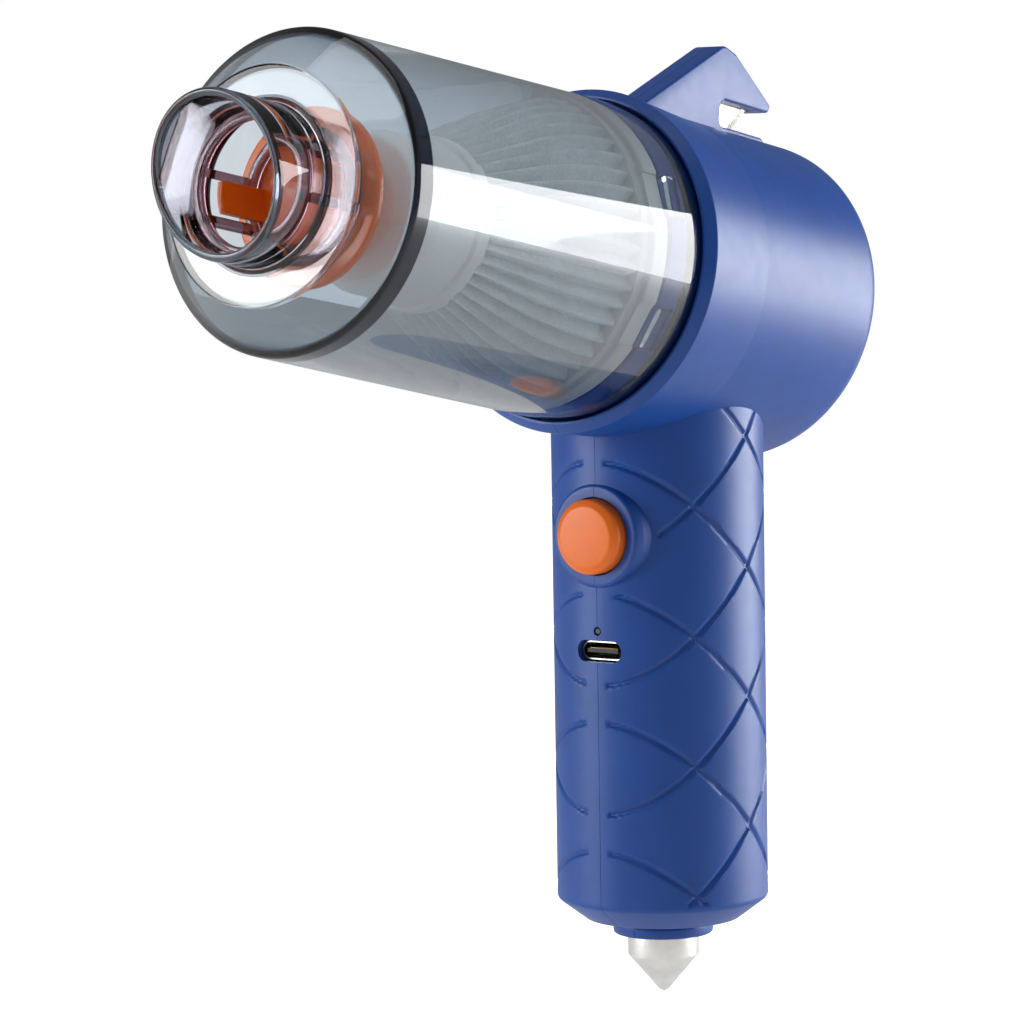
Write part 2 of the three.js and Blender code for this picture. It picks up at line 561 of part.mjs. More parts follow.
add('power_button', powerButton(), ORANGE);
add('switch_body', cut(block([-3, 3], [-10.9, -7.6], [BUTTON.z - 3, BUTTON.z + 3]),
  rodY(2, [-12, -8.2], 0, BUTTON.z)), BLACK);
add('switch_plunger', rodY(1.7, [-12.4, -9.5], 0, BUTTON.z), RED);
add('circuit_board', block([-BOARD.halfWidth, BOARD.halfWidth], [BOARD.frontY, BOARD.backY],
  [BOARD.bottomZ, BOARD.topZ]), BOARD_GREEN);
const usbShell = cut(roundSlot(8.9, 3.3, [-18.2, -7.7], USB.z), roundSlot(8.3, 2.7, [-19, -9], USB.z));
add('usb_shell', usbShell, STEEL);
add('usb_tongue', join(roundSlot(7.7, 2.1, [-11, -9.3], USB.z),
  block([-3.3, 3.3], [-17.5, -10], [USB.z - 0.35, USB.z + 0.35])), BLACK);
add('status_led', block([-0.8, 0.8], [-9, -7.7], [LED_Z - 0.8, LED_Z + 0.8]), CLEAR);
const lightPipe = turnedY([
  [0, -18.9], [0.5, -18.9], [0.5, -16], [1.1, -15.4], [1.1, -9.3], [0, -9.3]], SCREW_ROUND);
add('light_pipe', lightPipe.translate(0, 0, LED_Z), CLEAR);
add('battery_cell', batteryCell(), CELL_WRAP);
const cellTab = (z) => block([-3, 3], [CELL.y - 3, CELL.y + 3], z);
add('cell_tab_top', cellTab([CELL.topZ + GAP, CELL.topZ + 0.7]), STEEL);
add('cell_tab_bottom', cellTab([CELL.bottomZ - 0.7, CELL.bottomZ - GAP]), STEEL);
add('window_breaker', breakerTip(), STEEL);

BARREL_SCREWS.forEach(([s, h], i) => {
  add(`housing_screw_${i + 1}`, screw().translate(0, -s, h), STEEL, barrel);
});
HANDLE_SCREWS.forEach(([y, z], i) => {
  add(`housing_screw_${BARREL_SCREWS.length + i + 1}`, screw().translate(0, y, z), STEEL);
});

export default model;
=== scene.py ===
"""A hand-held cordless car vacuum: clear dust cup, pleated filter, blue pistol-grip housing, fin with a
belt cutter, and a glass-breaking point. Sizes are in millimetres; a mesh is made in metres."""
import json
import math

import bmesh
import bpy
import numpy as np
from mathutils import Matrix, Vector


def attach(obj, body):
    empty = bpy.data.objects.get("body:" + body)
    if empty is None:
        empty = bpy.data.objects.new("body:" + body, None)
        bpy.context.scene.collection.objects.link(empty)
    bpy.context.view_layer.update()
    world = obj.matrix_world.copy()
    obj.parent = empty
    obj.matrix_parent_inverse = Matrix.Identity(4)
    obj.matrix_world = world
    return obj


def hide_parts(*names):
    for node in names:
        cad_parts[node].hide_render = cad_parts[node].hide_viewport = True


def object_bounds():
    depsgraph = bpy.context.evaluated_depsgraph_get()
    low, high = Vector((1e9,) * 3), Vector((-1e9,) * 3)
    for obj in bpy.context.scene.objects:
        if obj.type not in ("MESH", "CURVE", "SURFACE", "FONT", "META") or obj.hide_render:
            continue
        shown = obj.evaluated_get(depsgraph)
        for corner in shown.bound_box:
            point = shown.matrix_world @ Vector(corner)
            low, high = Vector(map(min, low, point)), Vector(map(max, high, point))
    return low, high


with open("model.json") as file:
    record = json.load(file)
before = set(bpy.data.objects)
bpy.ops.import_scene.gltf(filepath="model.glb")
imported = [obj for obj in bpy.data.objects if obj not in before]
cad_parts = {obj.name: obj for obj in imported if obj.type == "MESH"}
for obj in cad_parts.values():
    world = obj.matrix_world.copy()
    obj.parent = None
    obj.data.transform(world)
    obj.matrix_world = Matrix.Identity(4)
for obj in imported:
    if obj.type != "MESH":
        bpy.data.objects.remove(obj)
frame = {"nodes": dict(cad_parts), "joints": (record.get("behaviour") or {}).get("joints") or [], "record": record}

cad_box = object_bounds()
MM = 0.001

# ---- driving dimensions, in millimetres ----
# r is a radius, s a station along the barrel, h a height above the barrel's axis, z a height on the handle
BODY = {"rim_r": 30.3, "rim_s": 24.9, "taper_end_s": 7.5, "r": 29.2, "back_s": -31, "back_round": 5,
        "bore_r": 26.8, "bore_front_s": 22, "bore_back_s": -28.8}
NECK = {"r": 25.6, "bore_r": 22.6, "front_s": 34, "floor_s": 24, "recess_r": 28.42}
CUP = {"back_r": 28.25, "back_s": 24.4, "ring_r": 26.7, "ring_s": 102.5, "face_r": 19.5, "face_s": 109,
       "wall": 1.9}
NOZZLE = {"r": 13.3, "bore_r": 11.9, "mouth_s": 120.4, "slant": math.radians(14.2), "straight_to_s": 110}
LUG = {"angles": (-68.5, -118.5, 111.5, 61.5), "width": 7, "inner_r": 24.9, "from_s": 30, "to_s": 33.3,
       "room": 0.4, "room_r": 27.5}
CAGE = {"r": 11.6, "bore_r": 10.2, "back_s": 97.9, "front_s": 112.2, "ring": 1.8, "rib": 1.5,
        "rib_angle": 21, "turn": 10}
DEFLECTOR = {"r": 14.7, "back_s": 96.1, "front_s": 97.6, "cheek_r": 9.9, "cheek_front_s": 108,
             "cheek_wall": 1, "cheek_half": 15.5}
PLEATS = {"count": 44, "depth": 2.4, "wall": 0.9, "front_s": 70.3, "back_s": 38.5}
FILTER = {"spigot_r": 21.6, "bore_r": 18.2, "back_s": 26, "flange_r": 25.3, "flange_from_s": 34.3,
          "flange_to_s": 38.3, "front_s": 39.6}
SEALS = {"spigot_seal": (20.7, 22.3, 28.7, 30.5), "cup_end_seal": (25, 26.05, 27.1, 28.7)}  # r, r, s, s
HANDLE = {"r": 19.1, "bore_r": 16.9, "top_z": 60, "smooth_from_z": 52, "crease_z": -41.2,
          "bottom_r": 13.9, "bottom_z": -45.1, "neck_r": 9.2, "neck_z": -48}
GRID = {"step": 0.34, "segments": 352}  # of the handle's surface
GROOVE = {"pitch": 23.15, "first_z": 42.6, "slopes": (1, -1.075), "half_width": 0.55, "depth": 0.42,
          "strip": (-3, 1.8), "lowest_z": -40.4}
TIP = {"r": 6.45, "edge_z": -52, "point_z": -59, "shank_r": 4.2, "head_r": 6.2, "room": 0.35}
BUTTON = {"r": 6.7, "z": 25.5, "face": 22.7, "gap": 0.3}
BOSS = {"r": 9, "root_r": 10.4, "face": 19.6}
SOCKET = {"width": 9.5, "height": 3.9, "z": 5, "contacts": 12, "contact_pitch": 0.5}
LIGHT = {"z": 8.6, "hole_r": 0.8}
HOLES = (12, 24)  # distances from the handle's axis
FIN = {"half": 3.2, "bevel": 0.45}
SLOT = {"top_h": 34.95, "floor_h": 30.1, "end_s": -11.7}
BLADE = [(-8.5, 37.3), (-23.2, 36.7), (-24.3, SLOT["top_h"]), (-19.1, SLOT["floor_h"]), (-17.9, 28.4),
         (-8.5, 28.4)]  # s, h
GRIND = 1.5
GRILLE = {"r": 21.6, "seat_r": 22, "slots": 7, "pitch": 5, "slot_half": 1.3, "reach": 18.4}
SPLIT_GAP = 0.04
SCREW = {"r": 1, "head_r": 2.1, "seat_x": -6, "tip_x": 8, "pilot_r": 1.3, "well_r": 2.5, "boss_r": 3.1,
         "boss_reach": 17, "cross": (0.28, 1.2)}
BARREL_SCREWS = [(2, 22), (-20, 21.5), (-20, -21.5)]  # s, h
HANDLE_SCREWS = [(8, 33), (-9, -20)]  # y, z

# ---- frames: a local point (x, y, z) in millimetres goes to the object's own frame ----
spin = next(joint for joint in frame["joints"] if joint["name"] == "rotor_spin")
FORWARD = Vector(spin["axis"]).normalized()
RIGHT = Vector((1, 0, 0))
UP = FORWARD.cross(RIGHT)


def axes(x_way, y_way, z_way, origin=(0, 0, 0)):
    place = Matrix.Identity(4)
    for column, way in enumerate((x_way, y_way, z_way)):
        for row in range(3):
            place[row][column] = way[row]
    place.translation = Vector(origin)
    return place


BARREL = axes(RIGHT, UP, FORWARD, spin["pos_m"])  # x across, y up from the axis, z the station
GRIP = Matrix.Identity(4)
FRONT = axes(RIGHT, (0, 0, 1), (0, -1, 0))  # x across, y up, z out of the handle's front


def turned_about_barrel(degrees):
    return BARREL @ Matrix.Rotation(math.radians(degrees), 4, "Z")


def on_front(z):
    """The front frame, lifted to a height on the handle."""
    return FRONT @ Matrix.Translation((0, z * MM, 0))


def in_fin(s, h, x):
    """Lays a side view's outline in the barrel's frame."""
    return x, h, s


# ---- outlines ----
def rounded(corners, steps=6):
    """Corners (a, b) or (a, b, radius) of a closed outline, each radius turned into an arc."""
    points = []
    for i, corner in enumerate(corners):
        here = np.array(corner[:2], float)
        radius = corner[2] if len(corner) > 2 else 0
        if radius == 0:
            points.append(here)
            continue
        before = np.array(corners[i - 1][:2], float) - here
        after = np.array(corners[(i + 1) % len(corners)][:2], float) - here
        way_in = before / np.linalg.norm(before)
        way_out = after / np.linalg.norm(after)
        half = math.acos(np.clip(way_in @ way_out, -1, 1)) / 2
        reach = min(radius / math.tan(half), 0.49 * np.linalg.norm(before),
                    0.49 * np.linalg.norm(after))
        radius = reach * math.tan(half)
        middle = way_in + way_out
        centre = here + middle / np.linalg.norm(middle) * radius / math.sin(half)
        start = here + way_in * reach - centre
        end = here + way_out * reach - centre
        angle = math.atan2(start[1], start[0])
        turn = math.atan2(end[1], end[0]) - angle
        turn = (turn + math.pi) % (2 * math.pi) - math.pi
        for k in range(steps + 1):
            a = angle + turn * k / steps
            points.append(centre + radius * np.array([math.cos(a), math.sin(a)]))
    return points


def rectangle(a, b, radius, steps):
    """A rectangle of half sizes a and b with rounded corners."""
    return rounded([(-a, -b, radius), (a, -b, radius), (a, b, radius), (-a, b, radius)], steps)


def circle_of(radius, count):
    turns = [2 * math.pi * k / count for k in range(count)]
    return [(radius * math.cos(turn), radius * math.sin(turn)) for turn in turns]


def area_of(points):
    return sum(a[0] * b[1] - b[0] * a[1] for a, b in zip(points, points[1:] + points[:1])) / 2


# ---- meshes ----
def placed(name, data):
    """A new object in the scene."""
    obj = bpy.data.objects.new(name, data)
    bpy.context.scene.collection.objects.link(obj)
    return obj


def soften(mesh, degrees=32):
    mesh.shade_smooth()
    mesh.set_sharp_from_angle(angle=math.radians(degrees))


def made(name, points, faces, place=GRIP, degrees=32):
    mesh = bpy.data.meshes.new(name)
    scaled = np.array(points, float) * MM
    mesh.from_pydata(scaled.tolist(), [], faces)
    mesh.transform(place)
    mesh.validate()
    soften(mesh, degrees)
    return placed(name, mesh)


def turned(name, profile, segments=160, place=BARREL, shift=None, degrees=32):
    """A profile of (radius, z) turned about the local Z. It closes on itself or ends on the axis."""
    points = [np.array(p, float) for p in profile]
    if area_of(points) < 0:
        points.reverse()
    on_axis = [p[0] < 1e-9 for p in points]
    while any(on_axis) and not (on_axis[0] and on_axis[-1]):
        points.append(points.pop(0))
        on_axis = [p[0] < 1e-9 for p in points]
    verts, rows = [], []
    for (r, z), axial in zip(points, on_axis):
        if axial:
            rows.append([len(verts)] * segments)
            verts.append((0, 0, z))
            continue
        rows.append(list(range(len(verts), len(verts) + segments)))
        for j in range(segments):
            angle = 2 * math.pi * j / segments
            verts.append((r * math.cos(angle), r * math.sin(angle), z))
    faces = []
    last = len(rows) - 1 if any(on_axis) else len(rows)
    for i in range(last):
        low, high = rows[i], rows[(i + 1) % len(rows)]
        for j in range(segments):
            k = (j + 1) % segments
            corners = (low[j], low[k], high[k], high[j])
            face = tuple(dict.fromkeys(corners))
            if len(face) > 2:
                faces.append(face)
    if shift:
        verts = [shift(v) for v in verts]
    return made(name, verts, faces, place, degrees)


def cylinder(name, radius, low, high, segments=128, place=BARREL):
    """A plain cylinder along the local Z."""
    return turned(name, [(0, low), (radius, low), (radius, high), (0, high)], segments, place)


def slab(name, outline, low, high, place=BARREL, bevel=0.0, lie=None):
    """A closed outline (a, b) given a depth along the local Z, or laid another way by lie(a, b, depth)."""
    points = [np.array(p, float) for p in outline]
    if area_of(points) < 0:
        points.reverse()
    count = len(points)
    lie = lie or (lambda a, b, c: (a, b, c))
    verts = [lie(p[0], p[1], low) for p in points] + [lie(p[0], p[1], high) for p in points]
    faces = [tuple(reversed(range(count))), tuple(range(count, 2 * count))]
    for i in range(count):
        j = (i + 1) % count
        faces.append((i, j, count + j, count + i))
    obj = made(name, verts, faces, place)
    put_outwards(obj)
    if bevel:
        bevelled(obj, bevel)
    return obj


def put_outwards(obj):
    work = bmesh.new()
    work.from_mesh(obj.data)
    bmesh.ops.remove_doubles(work, verts=work.verts, dist=1e-7)
    bmesh.ops.recalc_face_normals(work, faces=work.faces)
    work.to_mesh(obj.data)
    work.free()
    soften(obj.data)


def block(name, x, y, z, place=BARREL):
    return slab(name, [(x[0], y[0]), (x[1], y[0]), (x[1], y[1]), (x[0], y[1])], z[0], z[1], place)


def rod(name, radius, span, centre, place, segments=32):
    """A round bar along the local X."""
    return slab(name, circle_of(radius, segments), span[0], span[1], place,
                lie=lambda a, b, c: (c, centre[0] + a, centre[1] + b))


def baked(obj):
    """The object with its modifiers worked into a plain mesh."""
    bpy.context.view_layer.update()
    graph = bpy.context.evaluated_depsgraph_get()
    mesh = bpy.data.meshes.new_from_object(obj.evaluated_get(graph))
    obj.modifiers.clear()
    obj.data = mesh
    return obj


def bevelled(obj, width, segments=3, degrees=35):
    edge = obj.modifiers.new("edge", "BEVEL")
    edge.width = width * MM
    edge.segments = segments
    edge.limit_method = "ANGLE"
    edge.angle_limit = math.radians(degrees)
    baked(obj)
    soften(obj.data)
    return obj


def combined(base, tools, operation):
    for tool in tools:
        step = base.modifiers.new("step", "BOOLEAN")
        step.operation = operation
        step.solver = "MANIFOLD"
        step.object = tool
        baked(base)
        bpy.data.objects.remove(tool)
    return base


def joined(base, *tools):
    return combined(base, tools, "UNION")


def cut(base, *tools):
    return combined(base, tools, "DIFFERENCE")


def copied(obj, name):
    return placed(name, obj.data.copy())


# ---- geometry nodes ----
class Wiring:
    """Short ways to add nodes to a tree and to link them."""

    def __init__(self, tree):
        self.tree = tree

    def node(self, kind, settings=None, **links):
        step = self.tree.nodes.new(kind)
        for key, value in (settings or {}).items():
            setattr(step, key, value)
        for key, value in links.items():
            self.feed(step.inputs[key.replace("_", " ")], value)
        return step

    def feed(self, socket, value):
        """Links a socket to another one, or gives it a plain value."""
        if isinstance(value, bpy.types.NodeSocket):
            self.tree.links.new(value, socket)
        else:
            socket.default_value = value

    def maths(self, operation, a, b=0.0):
        step = self.node("ShaderNodeMath", {"operation": operation})
        self.feed(step.inputs[0], a)
        self.feed(step.inputs[1], b)
        return step.outputs[0]

    def span(self, value, low, high, start=0.0, stop=1.0):
        """The value moved from between start and stop to between low and high."""
        return self.node("ShaderNodeMapRange", Value=value, From_Min=start, From_Max=stop, To_Min=low,
                         To_Max=high).outputs[0]


class Grower(Wiring):
    """A node tree that makes a mesh: named inputs, and Realize Instances and Set Material at its end."""

    def __init__(self, name):
        super().__init__(bpy.data.node_groups.new(name, "GeometryNodeTree"))
        self.tree.interface.new_socket("Geometry", in_out="OUTPUT", socket_type="NodeSocketGeometry")
        self.inputs = {}
        self.entry = self.tree.nodes.new("NodeGroupInput")

    def input(self, name, kind):
        socket = self.tree.interface.new_socket(name, in_out="INPUT", socket_type="NodeSocket" + kind)
        self.inputs[name] = socket.identifier
        return self.entry.outputs[name]

    def vector(self, x=0.0, y=0.0, z=0.0):
        return self.node("ShaderNodeCombineXYZ", X=x, Y=y, Z=z).outputs[0]

    def end(self, geometry, weld=None):
        shape = self.node("GeometryNodeRealizeInstances", Geometry=geometry).outputs[0]
        if weld is not None:
            shape = self.node("GeometryNodeMergeByDistance", Geometry=shape, Distance=weld).outputs[0]
        material = self.input("Material", "Material")
        shape = self.node("GeometryNodeSetMaterial", Geometry=shape, Material=material).outputs[0]
        leave = self.tree.nodes.new("NodeGroupOutput")
        self.tree.links.new(shape, leave.inputs[0])

    def grow(self, name, place, **values):
        """The tree's mesh with these inputs, put in its place."""
        obj = placed(name, bpy.data.meshes.new(name))
        step = obj.modifiers.new("grow", "NODES")
        step.node_group = self.tree
        for key, value in values.items():
            step[self.inputs[key.replace("_", " ")]] = value
        baked(obj)
        obj.data.transform(place)
        soften(obj.data)
        return obj


def ring_grower():
    """Copies of one piece set round the local Z."""
    tree = Grower("pieces in a ring")
    count = tree.input("Count", "Int")
    first = tree.input("First angle", "Float")
    piece = tree.input("Piece", "Object")
    points = tree.node("GeometryNodePoints", Count=count)
    number = tree.node("GeometryNodeInputIndex").outputs[0]
    step = tree.maths("DIVIDE", 2 * math.pi, count)
    turn = tree.maths("ADD", tree.maths("MULTIPLY", number, step), first)
    shape = tree.node("GeometryNodeObjectInfo", Object=piece).outputs["Geometry"]
    copies = tree.node("GeometryNodeInstanceOnPoints", Points=points.outputs[0], Instance=shape,
                       Rotation=tree.vector(z=turn))
    tree.end(copies.outputs[0], weld=0.01 * MM)
    return tree


def row_grower():
    """Copies of one piece in a row along the local Y, stretched along X to the chords of a circle."""
    tree = Grower("bars across a circle")
    count = tree.input("Count", "Int")
    pitch = tree.input("Pitch", "Float")
    radius = tree.input("Radius", "Float")
    piece = tree.input("Piece", "Object")
    points = tree.node("GeometryNodePoints", Count=count)
    number = tree.node("GeometryNodeInputIndex").outputs[0]
    middle = tree.maths("MULTIPLY", tree.maths("SUBTRACT", count, 1.0), 0.5)
    height = tree.maths("MULTIPLY", tree.maths("SUBTRACT", number, middle), pitch)
    across = tree.maths("SUBTRACT", tree.maths("MULTIPLY", radius, radius),
                        tree.maths("MULTIPLY", height, height))
    half = tree.maths("SQRT", across)
    moved = tree.node("GeometryNodeSetPosition", Geometry=points.outputs[0], Position=tree.vector(y=height))
    shape = tree.node("GeometryNodeObjectInfo", Object=piece).outputs["Geometry"]
    copies = tree.node("GeometryNodeInstanceOnPoints", Points=moved.outputs[0], Instance=shape,
                       Scale=tree.vector(half, 1.0, 1.0))
    tree.end(copies.outputs[0])
    return tree


def point_grower():
    """Copies of one piece on the points of a guide mesh."""
    tree = Grower("pieces on points")
    guide = tree.input("Guide", "Object")
    piece = tree.input("Piece", "Object")
    points = tree.node("GeometryNodeObjectInfo", Object=guide).outputs["Geometry"]
    shape = tree.node("GeometryNodeObjectInfo", Object=piece).outputs["Geometry"]
    copies = tree.node("GeometryNodeInstanceOnPoints", Points=points, Instance=shape)
    tree.end(copies.outputs[0])
    return tree


RING = ring_grower()
BARS = row_grower()
ON_POINTS = point_grower()


# ---- materials ----
class Finish(Wiring):
    """A material with a Principled shader and short ways to wire textures into it."""

    def __init__(self, name, **sockets):
        self.material = bpy.data.materials.new(name)
        self.material.use_nodes = True
        super().__init__(self.material.node_tree)
        self.shader = self.tree.nodes["Principled BSDF"]
        for key, value in sockets.items():
            self.feed(self.shader.inputs[key.replace("_", " ")], value)
        self.place = self.tree.nodes.new("ShaderNodeTexCoord").outputs["Object"]

    def noise(self, size, detail=3.0, vector=None):
        """Noise with features of about this size in millimetres, from 0 to 1."""
        return self.node("ShaderNodeTexNoise", Vector=vector or self.place, Scale=1 / (size * MM),
                         Detail=detail).outputs["Fac"]

    def ramp(self, value, stops):
        """Colours at stops along a value from 0 to 1."""
        step = self.node("ShaderNodeValToRGB", Fac=value)
        marks = step.color_ramp.elements
        for mark, (at, color) in zip(marks, stops, strict=True):
            mark.position = at
            mark.color = (*color, 1)
        return step.outputs["Color"]

    def mix(self, amount, a, b):
        step = self.node("ShaderNodeMix", {"data_type": "RGBA"})
        self.feed(step.inputs[0], amount)
        for socket, value in ((step.inputs[6], a), (step.inputs[7], b)):
            self.feed(socket, value if isinstance(value, bpy.types.NodeSocket) else (*value, 1))
        return step.outputs[2]

    def vectors(self, operation, a, b=(0, 0, 0)):
        step = self.node("ShaderNodeVectorMath", {"operation": operation})
        for socket, value in ((step.inputs[0], a), (step.inputs[1], b)):
            self.feed(socket, value if isinstance(value, bpy.types.NodeSocket) else tuple(value))
        return step.outputs

    def color(self, value):
        self.feed(self.shader.inputs["Base Color"], value)

    def roughness(self, value):
        self.feed(self.shader.inputs["Roughness"], value)

    def bump(self, height, depth, strength=1.0):
        """Bump of this depth in millimetres."""
        step = self.node("ShaderNodeBump", Height=height, Distance=depth * MM, Strength=strength)
        self.feed(self.shader.inputs["Normal"], step.outputs[0])

    def along(self, way, origin):
        """Distance along a direction from a point, in millimetres."""
        away = self.vectors("SUBTRACT", self.place, origin)["Vector"]
        return self.maths("MULTIPLY", self.vectors("DOT_PRODUCT", away, way)["Value"], 1 / MM)

    def away_from_axis(self, way, origin):
        """Distance from the line through a point in a direction, in millimetres."""
        away = self.vectors("SUBTRACT", self.place, origin)["Vector"]
        across = self.vectors("CROSS_PRODUCT", away, way)["Vector"]
        return self.maths("MULTIPLY", self.vectors("LENGTH", across)["Value"], 1 / MM)

    def between(self, value, low, high, edge=0.06):
        """1 between two limits and 0 outside them, with narrow edges."""
        rise = self.span(value, 0, 1, low - edge, low + edge)
        return self.maths("MULTIPLY", rise, self.span(value, 1, 0, high - edge, high + edge))


def shades(color, spread):
    """A darker and a lighter neighbour of a colour."""
    dark = tuple(max(0.0, share * (1 - spread)) for share in color)
    return dark, tuple(min(1.0, share * (1 + spread)) for share in color)


def moulded(name, color, roughness=0.42, spread=0.05, grain=0.22, depth=0.012, **sockets):
    """Moulded plastic or rubber: faint mottling, uneven gloss and a fine spark-eroded grain."""
    finish = Finish(name, **sockets)
    dark, light = shades(color, spread)
    finish.color(finish.ramp(finish.noise(9), [(0.3, dark), (0.7, light)]))
    finish.roughness(finish.span(finish.noise(2.5), roughness - 0.05, roughness + 0.05))
    finish.bump(finish.noise(grain, 2.0), depth)
    return finish.material


def metal(name, color, roughness=0.25, grain=0.15, depth=0.004, stretch=(1, 1, 1)):
    """Bare metal with fine drawn or turned lines and a little staining."""
    finish = Finish(name, Metallic=1.0)
    mapping = finish.node("ShaderNodeMapping", Vector=finish.place, Scale=stretch)
    lines = finish.noise(grain, 4.0, mapping.outputs[0])
    dark, light = shades(color, 0.08)
    finish.color(finish.ramp(finish.noise(3), [(0.3, dark), (0.75, light)]))
    finish.roughness(finish.span(lines, roughness - 0.06, roughness + 0.08))
    finish.bump(lines, depth)
    return finish.material


def smoke(name, clear, deep, roughness=0.02, bands=()):
    """Clear smoke plastic, darker where the wall is seen edge on. A band gives a place of the wall its own tint:
    two limits of a measure along the barrel's axis, two radii, a colour and the slant of its limits."""
    finish = Finish(name, IOR=1.49, Transmission_Weight=1.0)
    facing = finish.node("ShaderNodeLayerWeight", Blend=0.42).outputs["Facing"]
    tint = finish.mix(finish.span(facing, 0, 1, 0.2, 0.92), clear, deep)
    tint = finish.mix(finish.span(finish.noise(30), 0.0, 0.07), tint, deep)
    radius = finish.away_from_axis(FORWARD, spin["pos_m"])
    for from_s, to_s, from_r, to_r, color, slant in bands:
        station = finish.along(FORWARD - UP * math.tan(slant), spin["pos_m"])
        inside = finish.maths("MULTIPLY", finish.between(station, from_s, to_s),
                              finish.between(radius, from_r, to_r))
        tint = finish.mix(inside, tint, color)
    finish.color(tint)
    finish.roughness(finish.span(finish.noise(5), roughness * 0.5, roughness * 1.6))
    finish.bump(finish.noise(14, 1.0), 0.01, 0.5)
    return finish.material


def filter_paper():
    """White filter cloth with the tiny square weave of a washable pleated filter."""
    finish = Finish("filter_paper", Sheen_Weight=0.25, Sheen_Roughness=0.6, Subsurface_Weight=0.1,
                    Subsurface_Radius=(MM, MM, MM))
    cells = finish.node("ShaderNodeTexVoronoi", Vector=finish.place, Scale=1 / (0.55 * MM))
    weave = finish.span(cells.outputs["Distance"], 1, 0, 0.05, 0.6)
    cloth = finish.mix(0.35, finish.noise(4), weave)
    finish.color(finish.ramp(cloth, [(0.15, (0.72, 0.73, 0.72)), (0.7, (0.92, 0.93, 0.92))]))
    finish.roughness(finish.span(finish.noise(1.2), 0.8, 0.95))
    finish.bump(weave, 0.05, 0.8)
    return finish.material


def circuit_board():
    """Green solder mask with the lines of the tracks under it."""
    finish = Finish("green_solder_mask", Coat_Weight=0.4, Coat_Roughness=0.2)
    tracks = finish.node("ShaderNodeTexBrick", Vector=finish.place, Scale=1 / (4 * MM), Mortar_Size=0.03)
    finish.color(finish.mix(tracks.outputs["Fac"], (0.01, 0.12, 0.05), (0.03, 0.22, 0.1)))
    finish.roughness(finish.span(finish.noise(1), 0.35, 0.5))
    finish.bump(tracks.outputs["Fac"], 0.02)
    return finish.material


BLUE = moulded("satin_blue_plastic", (0.005, 0.066, 0.33), roughness=0.4, spread=0.07)
BLUE_MATT = moulded("matt_dark_blue_plastic", (0.004, 0.035, 0.16), roughness=0.55, spread=0.08)
ORANGE = moulded("satin_orange_plastic", (0.94, 0.175, 0.006), roughness=0.38, spread=0.05)
ORANGE_GLOSS = moulded("gloss_orange_plastic", (0.9, 0.15, 0.006), roughness=0.22, spread=0.05)
PAST_MOUTH, PAST_NOZZLE = 130, 20
SMOKE_CLEAR = smoke("clear_smoke_plastic", (0.71, 0.77, 0.82), (0.1, 0.15, 0.2), bands=[
    # the nozzle, with painted light: lighter and pinker, for the orange parts seen through it; the rim of its
    # mouth, darkened; painted shade in the groove round its root; and the ring at the cup's front corner, darkened
    # almost to black
    # painted light: the nozzle is tinted lighter and pinker, standing for the orange parts seen through it
    (109.6, PAST_MOUTH, 0, PAST_NOZZLE, (0.88, 0.82, 0.88), 0),
    (NOZZLE["mouth_s"] - 1.2, PAST_MOUTH, 0, PAST_NOZZLE, (0.035, 0.042, 0.06), NOZZLE["slant"]),
    # painted shade: a near-black ring in the groove round the nozzle's root
    (108.3, 109.5, 13.1, 14.6, (0.012, 0.012, 0.03), 0),
    (CUP["ring_s"] - 3.5, CUP["ring_s"] + 0.5, 25.5, 30, (0.0006, 0.001, 0.003), 0)])
SMOKE_DARK = smoke("dark_smoke_plastic", (0.24, 0.14, 0.17), (0.04, 0.022, 0.03), roughness=0.05)
PAPER = filter_paper()
IVORY = moulded("off_white_plastic", (0.84, 0.82, 0.78), roughness=0.45, spread=0.03)
RUBBER = moulded("black_seal_rubber", (0.02, 0.022, 0.026), roughness=0.7, grain=0.4, depth=0.02)
BLACK = moulded("matt_black_plastic", (0.02, 0.02, 0.023), roughness=0.5)
DEEP = moulded("smoked_light_guide", (0.01, 0.012, 0.02), roughness=0.25)
CLEAR = moulded("milky_clear_plastic", (0.8, 0.82, 0.82), roughness=0.25, spread=0.02)
STEEL = metal("bright_steel", (0.72, 0.71, 0.69), roughness=0.2, stretch=(1, 1, 12))
PLATED = metal("zinc_plated_steel", (0.6, 0.6, 0.58), roughness=0.3)
TURNED = metal("polished_turned_steel", (0.82, 0.81, 0.78), roughness=0.14, stretch=(0.4, 0.4, 14))
BRASS = metal("brass", (0.62, 0.45, 0.18), roughness=0.3)
GOLD = metal("gilt_contacts", (0.85, 0.62, 0.25), roughness=0.2)
COPPER = metal("varnished_copper_winding", (0.55, 0.24, 0.12), roughness=0.35, grain=0.5, depth=0.05,
               stretch=(1, 14, 1))
FERRITE = moulded("dark_ferrite", (0.03, 0.03, 0.032), roughness=0.6, grain=0.5)
BLACK_WIRE = moulded("black_wire_insulation", (0.015, 0.015, 0.015), roughness=0.45)
RED_WIRE = moulded("red_wire_insulation", (0.4, 0.02, 0.012), roughness=0.45)
CELL_FILM = moulded("green_cell_film", (0.02, 0.26, 0.2), roughness=0.3, depth=0.004)
BOARD = circuit_board()

SLOT_FINISH = {
    "smoked_clear_plastic": SMOKE_CLEAR, "orange_plastic": ORANGE, "filter_frame_plastic": IVORY,
    "filter_paper": PAPER, "seal_rubber": RUBBER, "blue_plastic": BLUE, "blade_steel": STEEL,
    "black_plastic": BLACK, "motor_steel": PLATED, "armature_iron": COPPER, "magnet": FERRITE,
    "brass": BRASS, "black_insulation": BLACK_WIRE, "red_insulation": RED_WIRE, "board": BOARD,
    "clear_plastic": CLEAR, "cell_wrap": CELL_FILM, "tip_steel": TURNED,
}


def coat(mesh, material):
    mesh.materials.clear()
    mesh.materials.append(material)


